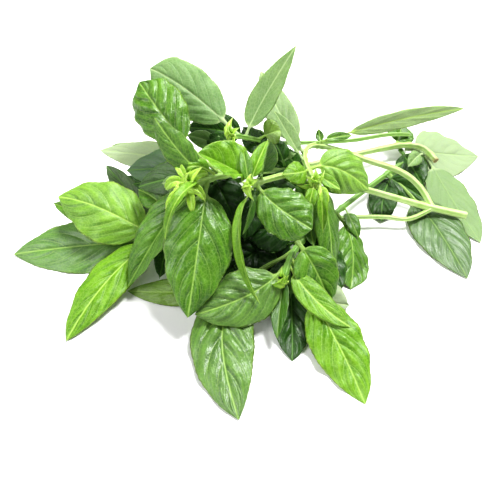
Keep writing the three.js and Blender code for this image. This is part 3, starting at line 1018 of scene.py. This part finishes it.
class LeafRelief(ShapeTree):
    """Raises the quilting between the veins, sinks the midrib, and cuts the small teeth."""

    usual_half = 11.0 * MM
    rib_half = 1.3 * MM
    rib_clear = 2.6 * MM

    def __init__(self) -> None:
        """Builds the tree once for all leaves."""
        super().__init__(
            "leaf relief",
            {
                "Puff": 1.0 * MM, "Groove": 0.3 * MM, "Crinkle": 0.3 * MM, "Ripple": 0.6 * MM,
                "Ripples": 4.0, "Teeth": 18.0, "Tooth": 0.12 * MM, "Shift": 0.0,
            },
        )
        across = self.attribute("across")
        along = self.attribute("along")
        reach = abs(across)
        half = self.attribute("half")
        rib_way = reach * half
        blade = along.rise(0.0, 0.12) * (1.0 - along.rise(0.9, 1.0))
        cell = VEINS.phase(self).fraction() * 2.0 - 1.0
        place = self.node("GeometryNodeInputPosition").outputs[0]
        arch = 1.0 - abs(cell) ** 2.6
        away = rib_way.rise(0.0, self.rib_clear)
        inward = 1.0 - reach.rise(0.35, 1.0)
        size = (half / self.usual_half).at_most(1.2)
        swelling = self.noise(place, 95.0, 1.0).rise(0.3, 0.7) * 1.1 + 0.25
        quilt = self.given("Puff") * (arch - 0.4) * swelling * away * inward * size
        rib = (1.0 - rib_way.rise(0.1 * MM, self.rib_half)) * self.given("Groove") * size
        crinkle = (self.noise(place, 170.0, 2.0) - 0.5) * 1.4
        crinkle = crinkle + (VEINS.streaks(self, place, 2.2, 150.0) - 0.5) * 0.5
        crinkle = crinkle * self.given("Crinkle") * away * (1.0 - reach.rise(0.6, 1.0) * 0.6)
        turn = along * self.given("Ripples") * (2 * math.pi)
        wave = (turn + across.sign() * 1.1 + self.given("Shift")).sine()
        ripple = wave * reach**3.0 * self.given("Ripple") * size
        height = (quilt - rib + crinkle + ripple) * blade
        notch = (along * self.given("Teeth") * (2 * math.pi) + self.given("Shift")).sine()
        tooth = notch * self.given("Tooth") * reach.rise(0.82, 1.0) * blade * size
        offset = self.summed(
            self.scaled(self.direction("lift"), height),
            self.scaled(self.direction("outward"), tooth),
        )
        self.close_moved(offset)


@dataclass
class LeafLook:
    """What sets one leaf apart: its veins, its quilting and its shade."""

    pairs: float = 5.0
    puff: float = 0.95
    crinkle: float = 0.7
    ripple: float = 0.6
    warmth: float = 0.0
    frost: float = 0.0
    shade: float = 0.0


QUILTED = {"puff": 1.35, "crinkle": 0.8}
FLAT = {"puff": 0.6, "crinkle": 0.3, "ripple": 0.5}
LOOKS = {
    "leaf_centre_1": LeafLook(pairs=4.0, puff=0.9),
    "leaf_centre_2": LeafLook(pairs=4.0, **QUILTED),
    "leaf_centre_3": LeafLook(shade=0.3),
    "leaf_centre_4": LeafLook(pairs=4.0, puff=0.3, crinkle=0.1),
    "leaf_centre_5": LeafLook(pairs=4.0, shade=0.5),
    "leaf_crown_1": LeafLook(puff=1.2),
    "leaf_crown_2": LeafLook(frost=0.06, **QUILTED),
    "leaf_crown_5": LeafLook(frost=0.1),
    "leaf_crown_6": LeafLook(warmth=-0.3, frost=0.2, **FLAT),
    "leaf_back_1": LeafLook(warmth=-0.1, shade=0.15, **FLAT),
    "leaf_back_2": LeafLook(**FLAT),
    "leaf_back_4": LeafLook(**QUILTED),
    "leaf_back_5": LeafLook(frost=0.75, **FLAT),
    "leaf_back_6": LeafLook(warmth=0.25, frost=0.1),
    "leaf_bend_1": LeafLook(frost=0.3, shade=0.05, **FLAT),
    "leaf_bend_2": LeafLook(frost=0.1, **FLAT),
    "leaf_bend_3": LeafLook(frost=0.6, puff=0.8),
    "leaf_right_1": LeafLook(frost=0.12, puff=1.4),
    "leaf_low_1": LeafLook(frost=0.1, **QUILTED),
    "leaf_low_2": LeafLook(shade=0.55),
    "leaf_low_4": LeafLook(puff=1.6, ripple=0.9, shade=0.1),
    "leaf_low_5": LeafLook(shade=0.15),
    "leaf_low_6": LeafLook(puff=1.6, frost=0.1, shade=0.08),
    "leaf_low_7": LeafLook(warmth=0.2),
    "leaf_left_1": LeafLook(puff=0.9, frost=0.08),
    "leaf_left_2": LeafLook(warmth=-0.1, frost=0.12, **FLAT),
    "leaf_left_3": LeafLook(**QUILTED),
    "leaf_left_4": LeafLook(frost=0.15),
    "leaf_hang_4": LeafLook(shade=0.35),
    "leaf_cut_1": LeafLook(frost=0.8, shade=0.3, **FLAT),
    "leaf_cut_2": LeafLook(frost=0.45, shade=0.55, **FLAT),
    "leaf_cut_3": LeafLook(pairs=6.0, warmth=-0.1, frost=0.3, shade=0.5, **FLAT),
    "leaf_cut_4": LeafLook(shade=0.25),
    # painted shade on the two leaves deep inside the bunch
    "leaf_inner_1": LeafLook(shade=0.8),
    "leaf_inner_2": LeafLook(shade=0.8),
}


@dataclass
class Leaf:
    """One leaf of the bunch, in the place of its CAD node."""

    node: str
    tone: Tone
    look: LeafLook = field(default_factory=LeafLook)
    shift: float = 0.0
    small_half: float = 5 * MM
    few_pairs: float = 3.0

    def build(
        self, form: LeafForm, relief: LeafRelief, finish: Material, *stands_for: str
    ) -> Object:
        """Builds the leaf.

        Args:
            form: its middle surface.
            relief: the tree that raises the veins.
            finish: its material.
            *stands_for: its CAD node, if it has one.

        Returns:
            The leaf, riding on the body.
        """
        look = self.look
        small = form.half_width(np.array([0.4]))[0] < self.small_half
        pairs = min(look.pairs, self.few_pairs) if small else look.pairs
        mesh = LeafShell(form).build(pairs, look.warmth, look.frost, look.shade)
        sizes = {"Puff": look.puff, "Crinkle": look.crinkle, "Ripple": look.ripple}
        inputs = {label: size * MM for label, size in sizes.items()}
        piece = relief.grow(mesh, f"{self.node}_blade", finish, {**inputs, "Shift": self.shift})
        settle(piece, self.tone.value, *stands_for)
        return piece


def settle(piece: Object, slot: str, *nodes: str) -> None:
    """Keeps a finished piece above the table, and ties it to the body and its CAD nodes.

    Args:
        piece: the finished object.
        slot: the material slot of the record; not used.
        *nodes: the CAD nodes that it stands for.
    """
    places = np.empty(len(piece.data.vertices) * 3, np.float32)
    piece.data.vertices.foreach_get("co", places)
    places = places.reshape(-1, 3)
    low = places[:, 2] < FLOOR_GAP
    if low.any():
        places[low, 2] = FLOOR_GAP * np.exp((places[low, 2] - FLOOR_GAP) / FLOOR_GAP)
        piece.data.vertices.foreach_set("co", places.ravel())
        piece.data.update()
    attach(piece, BODY)
    if nodes:
        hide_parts(*nodes)
    LOG.info("%s: %d faces", piece.name, len(piece.data.polygons))


# ---- stems


class StemRelief(ShapeTree):
    """Grooves the four flat sides of a stem and swells it where leaves stand."""

    def __init__(self) -> None:
        """Builds the tree once for all stems."""
        super().__init__(
            "stem relief", {"Square": 0.26 * MM, "Swell": 0.55 * MM, "Uneven": 0.12 * MM}
        )
        corner = self.attribute("ridge") - 0.5
        place = self.node("GeometryNodeInputPosition").outputs[0]
        uneven = (self.noise(place, 170.0, 2.0) - 0.5) * 2.0 * self.given("Uneven")
        swell = self.attribute("swell") * self.given("Swell")
        skin = 1.0 - self.attribute("cut")
        height = (corner * self.given("Square") * 2.0 + uneven + swell) * skin
        offset = self.scaled(self.direction("lift"), height)
        self.close_moved(offset)


@dataclass
class Stem:
    """One stem, from its cut or joined end to its growing end.

    The dips of a cut end are pairs: a share of the radius, and the depth there in millimetres.
    """

    node: str
    joins: str = ""
    bruised: float = 0.0
    leafy: float = 0.0
    turn: float = 0.3
    step: float = 0.7 * MM
    around: int = 32
    swell_reach: float = 1.9 * MM
    run_in: float = 4.0 * MM
    parent_points: int = 200
    leaf_near: float = 2.6 * MM
    bruise_reach: float = 3.0 * MM
    cut_dips: tuple = ((0.25, 0.25), (0.44, 0.22), (0.63, 0.12), (0.81, 0.03))

    def centre_line(self, cad: Object) -> tuple[Points, Points]:
        """Reads the stem's line.

        Args:
            cad: its CAD node.

        Returns:
            Points along the middle, and the radius at each.
        """
        _, rings, _ = RingWalk(cad).read()
        middle = rings.mean(1)
        radius = np.linalg.norm(rings - middle[:, None], axis=2).mean(1)
        if radius[0] < radius[-1]:
            middle, radius = middle[::-1], radius[::-1]
        return middle, radius

    def build(
        self, lines: dict[str, tuple[Points, Points]], feet: Points, relief: StemRelief,
        finish: Material,
    ) -> Object:
        """Builds the stem.

        Args:
            lines: every stem's line and radii, by name.
            feet: where the leaves stand.
            relief: the tree that grooves the skin.
            finish: the stem's material.

        Returns:
            The stem, riding on the body.
        """
        middle, radius = lines[self.node]
        if self.joins:
            middle = self._joined(middle, lines[self.joins][0])
        span = lengths_along(middle)
        count = max(24, int(span[-1] / self.step))
        wanted = np.linspace(0, span[-1], count)
        line = follow(middle, span, wanted)
        size = np.interp(wanted, span, radius)
        onward = unit(np.gradient(line, axis=0))
        up = self._carried(onward)
        aside = np.cross(onward, up)
        angle = np.linspace(0, 2 * np.pi, self.around, endpoint=False)
        out = (
            up[:, None] * np.cos(angle)[None, :, None]
            + aside[:, None] * np.sin(angle)[None, :, None]
        )
        loops = line[:, None] + out * size[:, None, None]
        cut_face = np.array([
            line[0] + onward[0] * dip * MM + out[0] * size[0] * share
            for share, dip in self.cut_dips
        ])
        loops = np.concatenate([cut_face, loops])
        cut_rows = len(cut_face)
        end = line[-1] + onward[-1] * size[-1] * 0.5
        mesh = closed_tube(loops, line[0] + onward[0] * 0.25 * MM, end)
        near = self._swelling(line, feet, size)
        rows = np.concatenate([np.zeros(cut_rows), near])
        cut = np.concatenate([np.ones(cut_rows), np.zeros(count)])
        cut[cut_rows] = 0.4
        if self.joins:
            cut[:] = 0
        along = np.concatenate([np.zeros(cut_rows), wanted / span[-1]])
        bruise = np.clip(1 - along * span[-1] / self.bruise_reach, 0, 1) * self.bruised
        ridge = (np.cos(4 * (angle + self.turn)) + 1) / 2

        def spread(values: Points) -> Points:
            """One value for each point of a loop, and for both end points."""
            full = np.repeat(values, self.around)
            return np.concatenate([full, [values[0], values[-1]]])

        lift = np.concatenate([np.repeat(out[:1], cut_rows, 0), out]).reshape(-1, 3)
        carry(
            mesh,
            along=spread(along), cut=spread(cut), swell=spread(rows), bruise=spread(bruise),
            ridge=np.concatenate([np.tile(ridge, len(loops)), [0.5, 0.5]]),
            leafy=np.full(len(loops) * self.around + 2, self.leafy),
            lift=np.vstack([lift, -onward[0], onward[-1]]),
        )
        piece = relief.grow(mesh, f"{self.node}_skin", finish, {})
        settle(piece, "stem", self.node)
        return piece

    def _joined(self, middle: Points, parent: Points) -> Points:
        """Starts a side stem on its parent's line, so that it leaves in a bend.

        Args:
            middle: the side stem's middle line.
            parent: the parent's middle line.

        Returns:
            The side stem's line with its start moved on to the parent's.
        """
        span = lengths_along(parent)
        last = self.parent_points - 1
        dense = follow(parent, span, np.linspace(0, span[-1], self.parent_points))
        nearest = int(np.argmin(np.linalg.norm(dense - middle[0], axis=1)))
        along = unit(dense[min(nearest + 1, last)] - dense[nearest])
        steps = int(self.run_in / span[-1] * last)
        back = -steps if (middle[1] - middle[0]) @ along > 0 else steps
        return np.vstack([dense[int(np.clip(nearest + back, 0, last))], middle[1:]])

    @staticmethod
    def _carried(onward: Points) -> Points:
        """Up directions that don't twist along a line."""
        up = np.empty_like(onward)
        first = np.array([0.0, 0.0, 1.0])
        for i, way in enumerate(onward):
            first = first - way * float(first @ way)
            first = first / np.linalg.norm(first)
            up[i] = first
        return up

    def _swelling(self, line: Points, feet: Points, size: Points) -> Points:
        """How much the stem swells at each place, where leaves stand close to it."""
        away = np.linalg.norm(line[:, None] - feet[None], axis=2)
        close = away.min(0) < size.max() + self.leaf_near
        if not close.any():
            return np.zeros(len(line))
        nearest = away[:, close].argmin(0)
        span = lengths_along(line)
        gaps = (span[:, None] - span[nearest][None]) / self.swell_reach
        return np.clip(np.exp(-(gaps**2)).max(1), 0, 1)


# ---- tufts


class TuftRosette(ShapeTree):
    """Sets crossed pairs of small leaves round a growing end, larger and flatter outwards."""

    def __init__(self) -> None:
        """Builds the tree once for all tufts."""
        super().__init__(
            "tuft rosette",
            {
                "Pairs": 6, "Outer lean": 1.4, "Inner lean": 0.25, "Inner size": 0.4,
                "Spacing": 0.5 * MM, "Twist": 0.4, "Unevenness": 0.35, "Seed": 1,
                "Place": (0.0, 0.0, 0.0), "Turn": (0.0, 0.0, 0.0),
            },
        )
        count = self.given("Pairs") * 2.0
        points = self.node("GeometryNodePoints", None, {"Count": count})
        index = self.value("GeometryNodeInputIndex")
        pair = self.math("FLOOR", index / 2.0)
        share = pair / (self.given("Pairs") - 1.0)
        half_turn = self.math("MODULO", index, 2.0) * math.pi
        spin_off, lean_off, size_off = (self._random(index, step) for step in (0, 7, 13))
        spin = pair * (self.given("Twist") + math.pi / 2) + half_turn + spin_off
        outer = self.given("Outer lean")
        lean = outer + share * (self.given("Inner lean") - outer) + lean_off
        size = (1.0 + share * (self.given("Inner size") - 1.0)) * (1.0 + size_off)
        height = pair * self.given("Spacing")
        turn = self.node("ShaderNodeCombineXYZ", None, {0: lean * -1.0 + math.pi / 2, 2: spin})
        up = self.node("ShaderNodeCombineXYZ", None, {2: height})
        raised = self.node(
            "GeometryNodeSetPosition", None, {0: points.outputs[0], "Offset": up.outputs[0]}
        )
        set_out = self.node(
            "GeometryNodeInstanceOnPoints", None,
            {0: raised.outputs[0], "Instance": self.geometry, "Rotation": turn.outputs[0],
             "Scale": self._even(size)},
        )
        real = self.node("GeometryNodeRealizeInstances", None, {0: set_out.outputs[0]})
        placed = self.node(
            "GeometryNodeTransform", None,
            {0: real.outputs[0], "Translation": self.given("Place"),
             "Rotation": self.given("Turn")},
        )
        self.close(placed.outputs[0])

    def _random(self, index: Value, offset: int) -> Value:
        """A fixed random number for each leaf, within the unevenness."""
        sockets = {
            2: self.given("Unevenness") * -1.0, 3: self.given("Unevenness"),
            "ID": index, "Seed": self.given("Seed") + float(offset),
        }
        return self.value("FunctionNodeRandomValue", {"data_type": "FLOAT"}, sockets, 1)

    def _even(self, size: Value) -> Socket:
        """One size in all three directions."""
        return self.node("ShaderNodeCombineXYZ", None, {0: size, 1: size, 2: size}).outputs[0]


@dataclass
class Tuft:
    """The small new leaves at one growing end."""

    node: str
    stem: str
    reach: float
    pairs: int = 6
    seed: int = 1
    shade: float = 0.0
    fold: float = 30.0
    lifted: float = 0.4 * MM

    def small_leaf(self) -> Mesh:
        """The largest leaf of the tuft, lying along +Y with its foot at the origin.

        Returns:
            Its mesh, veined and folded.
        """
        share = np.linspace(0, 1, 9)
        rise = 0.34 * np.sin(share * np.pi * 0.9) - 0.4 * share**3
        rib = np.stack([share * 0, share, rise], 1) * self.reach
        fold = math.radians(self.fold)
        count = len(share)
        right = np.tile([math.cos(fold), 0.0, math.sin(fold)], (count, 1))
        left = right * [-1, 1, 1]
        up = np.tile([0.0, 0.0, 1.0], (count, 1))
        belly = np.tile([0.0, 0.0, 0.05 * self.reach], (count, 1))
        full = np.stack([share, np.full(count, self.reach)], 1)
        form = LeafForm(rib, share, 0.1, right, left, up, belly, belly, full)
        shell = LeafShell(
            form, step=0.42 * MM, blade=0.3 * MM, stalk=0.6 * MM, sunk=0.6 * MM, most_rows=26,
            most_columns=10,
        )
        return shell.build(3.0, 0.0, shade=self.shade)

    def build(
        self, line: Points, relief: LeafRelief, rosette: TuftRosette, finish: Material
    ) -> Object:
        """Builds the tuft at the end of its stem.

        Args:
            line: the stem's middle line.
            relief: the tree that raises the veins of one small leaf.
            rosette: the tree that sets the leaves out.
            finish: their material.

        Returns:
            The tuft, riding on the body.
        """
        leaf = relief.grow(
            self.small_leaf(), f"{self.node}_one", finish,
            {"Puff": 0.5 * MM, "Crinkle": 0.15 * MM, "Ripple": 0.7 * MM, "Teeth": 9.0,
             "Tooth": 0.2 * MM},
        )
        onward = Vector(unit(line[-1] - line[-2]))
        turn = Vector((0, 0, 1)).rotation_difference(onward).to_euler()
        place = Vector(line[-1]) + onward * self.lifted
        mesh = leaf.data.copy()
        bpy.data.objects.remove(leaf)
        piece = rosette.grow(
            mesh, f"{self.node}_leaves", finish,
            {"Pairs": self.pairs, "Seed": self.seed, "Place": tuple(place),
             "Turn": tuple(turn)},
        )
        settle(piece, "tuft", self.node)
        return piece


# ---- the bunch


# Leaves deep in the bunch, darkened with painted shade, and young leaves by the tufts.
SMALL_LEAVES = (
    LeafPlan("leaf_under_crown_1", Tone.DARK, (-30, 10, 44), (-17, -7, 29), 22, fold=6, shade=0.6),
    LeafPlan("leaf_under_crown_2", Tone.DARK, (-22, 13, 33), (-24, -12, 20), 24, fold=4, shade=0.6),
    LeafPlan("leaf_middle_1", Tone.DARK, (17, -8, 24), (-14, -6, 21), 26, arch=(4, 3), shade=0.6),
    LeafPlan("leaf_middle_2", Tone.DARK, (0, -10, 14), (-24, -28, 8), 26, shade=0.6),
    LeafPlan("leaf_middle_3", Tone.DARK, (-9, -4, 13), (-2, -38, 7), 24, shade=0.6),
    LeafPlan("leaf_middle_4", Tone.DARK, (13, -20, 14), (7, -42, 8), 18, shade=0.6),
    LeafPlan("leaf_middle_5", Tone.DARK, (16, -20, 14), (25, -39, 6), 14),
    LeafPlan("leaf_low_pale", Tone.PALE, (20, -41, 5), (45, -39, 3), 25, fold=2, frost=0.9),
    LeafPlan("leaf_right_hang", Tone.MID, (16, -20, 29), (34, -42, 8), 23, arch=(5, 4)),
    LeafPlan("leaf_crown_grey", Tone.PALE, (-46, 0, 45), (-56, 3, 46), 9),
    LeafPlan("leaf_crown_side_1", Tone.MID, (-55, -2, 33), (-71, 10, 34), 14, fold=12),
    LeafPlan("leaf_crown_side_2", Tone.DARK, (-53, 15, 34), (-77, 20, 28), 12),
    LeafPlan(
        "leaf_crown_young_1", Tone.BRIGHT, (-30, 3, 55), (-45, -2, 58), 10,
        arch=(5, 7), fold=-15, curl=0.1,
    ),
    LeafPlan(
        "leaf_crown_young_2", Tone.TUFT, (-39, -11, 55), (-51, -19, 50), 6,
        arch=(4, 5), fold=18,
    ),
    LeafPlan("leaf_curl_1", Tone.TUFT, (-42, -7, 55), (-47, -18, 49), 6, arch=(4, 6), fold=25),
    LeafPlan("leaf_curl_2", Tone.TUFT, (-40, -8, 55), (-32, -13, 50), 5, arch=(4, 5), fold=28),
    LeafPlan("leaf_curl_3", Tone.TUFT, (-43, -7, 56), (-52, -8, 52), 6, arch=(4, 5), fold=24),
    LeafPlan("leaf_curl_4", Tone.TUFT, (-40, -8, 57), (-31, -2, 58), 5, arch=(3, 4), fold=28),
    LeafPlan("leaf_curl_5", Tone.TUFT, (-42, -6, 57), (-48, 2, 60), 5, arch=(3, 4), fold=28),
    LeafPlan("leaf_curl_6", Tone.TUFT, (-40, -9, 54), (-38, -18, 46), 5, arch=(3, 5), fold=28),
    LeafPlan("leaf_back_grey", Tone.PALE, (-25, 33, 48), (-45, 41, 44), 11, fold=2),
    LeafPlan("leaf_bend_dark_1", Tone.DARK, (8, 32, 38), (1, 43, 46), 11),
    LeafPlan("leaf_bend_dark_2", Tone.DARK, (12, 32, 26), (-8, 28, 27), 15),
    LeafPlan("leaf_bend_dark_3", Tone.DARK, (18, 36, 29), (-3, 46, 33), 15),
    LeafPlan("leaf_under_crown_3", Tone.DARK, (-17, 16, 38), (-39, 6, 34), 20, fold=4, shade=0.6),
    LeafPlan("leaf_under_centre", Tone.DARK, (-9, 9, 37), (-12, -14, 22), 18, fold=4, shade=0.6),
    LeafPlan("leaf_under_right", Tone.DARK, (17, 1, 20), (31, -10, 10), 22, fold=4, shade=0.6),
    LeafPlan("leaf_centre_back", Tone.MID, (-4, 36, 42), (-14, 47, 48), 13, fold=12),
    LeafPlan("leaf_centre_young_1", Tone.MID, (-11, -7, 57), (-15, 11, 66), 7, fold=22),
    LeafPlan("leaf_centre_young_2", Tone.BRIGHT, (-10, -5, 57), (-2, 17, 66), 9, fold=22),
    LeafPlan("leaf_back_cover", Tone.DARK, (-4, 31, 42), (-16, 48, 50), 13),
    LeafPlan("leaf_crown_back", Tone.PALE, (-30, 34, 46), (-47, 39, 49), 10, fold=2, shade=0.4),
    LeafPlan("leaf_bend_dark_4", Tone.DARK, (18, 26, 36), (8, 46, 34), 12),
    LeafPlan("leaf_under_tuft", Tone.DARK, (-8, 5, 46), (-3, -3, 36), 12, shade=0.4),
    LeafPlan("leaf_right_dark", Tone.DARK, (16, 13, 36), (1, 21, 38), 13, shade=0.3),
    LeafPlan("leaf_right_under", Tone.MID, (28, 22, 38), (43, 18, 30), 13),
    LeafPlan("leaf_crown_dark", Tone.DARK, (-33, 2, 46), (-46, -1, 36), 13, shade=0.4),
    LeafPlan("leaf_right_fold", Tone.BRIGHT, (26, 9, 46), (29, -11, 28), 7, arch=(4, 5), fold=28),
    LeafPlan("leaf_bend_pale", Tone.PALE, (18, 35, 33), (4, 40, 36), 9),
    LeafPlan("leaf_right_young_1", Tone.BRIGHT, (23, 6, 45), (20, -6, 38), 7, fold=20),
    LeafPlan("leaf_right_young_2", Tone.TUFT, (26, 7, 45), (30, -2, 38), 6, fold=20),
    LeafPlan("leaf_cut_young", Tone.PALE, (100, 76, 12), (90, 65, 10), 10),
    LeafPlan("leaf_cut_dark_1", Tone.DARK, (90, 85, 6), (101, 56, 2), 20, arch=(1, 1)),
    LeafPlan("leaf_cut_dark_2", Tone.DARK, (76, 59, 7), (102, 42, 2), 15, arch=(1, 1)),
    LeafPlan("leaf_left_under", Tone.MID, (-88, -1, 12), (-125, 17, 14), 12, fold=14),
    LeafPlan("leaf_left_grey", Tone.PALE, (-44, 28, 28), (-98, 61, 22), 11, fold=3, stalk=0.48),
    LeafPlan("leaf_left_dark", Tone.DARK, (-52, -7, 20), (-57, -29, 6), 12, fold=14),
)


@dataclass
class Bunch:
    """The whole bunch: stems, tufts and leaves."""

    stems: Sequence[Stem] = (
        Stem("stem_front"),
        Stem("stem_arch", joins="stem_front", leafy=0.12),
        Stem("stem_left", joins="stem_front", leafy=0.2),
        Stem("stem_back", bruised=0.85, leafy=0.15),
        Stem("stem_low", leafy=0.75),
        Stem("stem_high", leafy=0.6),
    )
    tufts: Sequence[Tuft] = (
        Tuft("tuft_centre", "stem_front", 7.0 * MM, seed=2),
        Tuft("tuft_crown", "stem_back", 9.5 * MM, pairs=11, seed=5),
        Tuft("tuft_back", "stem_high", 7.5 * MM, pairs=7, seed=8),
        Tuft("tuft_right", "stem_arch", 8.0 * MM, pairs=7, seed=11),
        Tuft("tuft_low", "stem_low", 7.0 * MM, seed=14, shade=0.5),
    )

    large_shift: float = 1.7
    small_shift: float = 2.3
    small_pairs: float = 4.0

    def build(self, frame: dict) -> list[Object]:
        """Builds every piece.


        Returns:
            The pieces.
        """
        nodes = frame["nodes"]
        slots = {row["node"]: row["material_slot"] for row in frame["record"]["subparts"]}
        finishes = {tone: tone.finish.material() for tone in Tone}
        leaf_relief, stem_relief, rosette = LeafRelief(), StemRelief(), TuftRosette()
        pieces = []
        names = [name for name in slots if name.startswith("leaf_")]
        for count, name in enumerate(names):
            tone = Tone(slots[name])
            leaf = Leaf(name, tone, LOOKS.get(name, LeafLook()), shift=count * self.large_shift)
            form = LeafForm.from_rings(*RingWalk(nodes[name]).read())
            pieces.append(leaf.build(form, leaf_relief, finishes[tone], name))
        for count, plan in enumerate(SMALL_LEAVES):
            look = LeafLook(self.small_pairs, shade=plan.shade, frost=plan.frost)
            leaf = Leaf(plan.name, plan.tone, look, shift=count * self.small_shift)
            form = LeafForm.from_plan(plan)
            pieces.append(leaf.build(form, leaf_relief, finishes[plan.tone]))
        feet = np.array([RingWalk(nodes[name]).read()[0] for name in names])
        lines = {stem.node: stem.centre_line(nodes[stem.node]) for stem in self.stems}
        bark = StemFinish().material()
        for stem in self.stems:
            pieces.append(stem.build(lines, feet, stem_relief, bark))
        for tuft in self.tufts:
            line = lines[tuft.stem][0]
            pieces.append(tuft.build(line, leaf_relief, rosette, finishes[Tone.TUFT]))
        return pieces


# ---- the studio


@dataclass
class Studio:
    """A plain pale floor, soft light and the camera."""

    height: float = 0.240
    forward: float = -0.2053
    sideways: float = -0.0105
    tilt: float = 50.12
    roll: float = 2.31
    lens: float = 38.93
    sensor: float = 36.0
    floor_radius: float = 1.0
    floor_sides: int = 96
    floor_colour: tuple = (0.86, 0.86, 0.85, 1.0)
    lamps: tuple = (
        ("key", (0.35, 0.25, 1.05), 0.3, 18.5),
        ("sheen", (0.0, 0.85, 0.95), 0.5, 6.5),
        ("fill", (-0.8, -0.4, 0.9), 0.6, 9.2),
    )

    def build(self) -> None:
        """Builds the floor, the lights, the world and the camera."""
        self._floor()
        self._world()
        for lamp in self.lamps:
            self._lamp(*lamp)
        self._camera()
        view = bpy.context.scene.view_settings
        view.view_transform, view.look = "Standard", "Medium High Contrast"

    def _floor(self) -> None:
        """A round pale floor."""
        turn = np.linspace(0, 2 * np.pi, self.floor_sides, endpoint=False)
        rim = np.stack([np.cos(turn), np.sin(turn), turn * 0], 1) * self.floor_radius
        mesh = bpy.data.meshes.new("floor")
        mesh.from_pydata(rim.tolist(), [], [list(range(len(rim)))])
        floor = add_object("floor", mesh)
        sockets = {"Base Color": self.floor_colour, "Roughness": 0.7}
        made = make_material("pale floor", lambda tree: sockets)
        mesh.materials.append(made)

    @staticmethod
    def _world() -> None:
        """A soft surround, palest just above the floor."""
        world = bpy.data.worlds.new("surround")
        world.use_nodes = True
        tree = Tree(world.node_tree)
        way = tree.node("ShaderNodeTexCoord").outputs["Generated"]
        height = tree.value("ShaderNodeSeparateXYZ", None, {0: way}, 2)
        glow = tree.node(
            "ShaderNodeBackground", None,
            {"Color": (1.0, 1.0, 1.0, 1.0), "Strength": 0.8 - height.rise(0.05, 0.4) * 0.58},
        )
        tree.node("ShaderNodeOutputWorld", None, {0: glow.outputs[0]})
        bpy.context.scene.world = world

    @staticmethod
    def _lamp(name: str, place: tuple, size: float, power: float) -> None:
        """A square soft lamp that faces the bunch."""
        light = bpy.data.lights.new(name, "AREA")
        light.size = size
        light.energy = power
        lamp = add_object(name, light)
        lamp.location = place
        lamp.rotation_euler = (-Vector(place)).to_track_quat("-Z", "Y").to_euler()

    def _camera(self) -> None:
        """The camera, above and in front, tilted down."""
        data = bpy.data.cameras.new("camera")
        data.lens = self.lens
        data.sensor_width = self.sensor
        data.clip_start = 0.01
        camera = add_object("camera", data)
        tilt, roll = math.radians(self.tilt), math.radians(self.roll)
        level_up = Vector((0, math.sin(tilt), math.cos(tilt)))
        ahead = Vector((0, math.cos(tilt), -math.sin(tilt)))
        level_right = Vector((1, 0, 0))
        right = level_right * math.cos(roll) + level_up * math.sin(roll)
        up = level_up * math.cos(roll) - level_right * math.sin(roll)
        turned = Matrix((right, up, -ahead)).transposed().to_4x4()
        place = Matrix.Translation((self.sideways, self.forward, self.height))
        camera.matrix_world = place @ turned
        bpy.context.scene.camera = camera


def main() -> None:
    """Loads the frame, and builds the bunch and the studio."""
    logging.basicConfig(level=logging.INFO, format="%(message)s")
    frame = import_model()
    pieces = Bunch().build(frame)
    LOG.info("%d pieces", len(pieces))
    Studio().build()


if __name__ == "__main__":
    main()
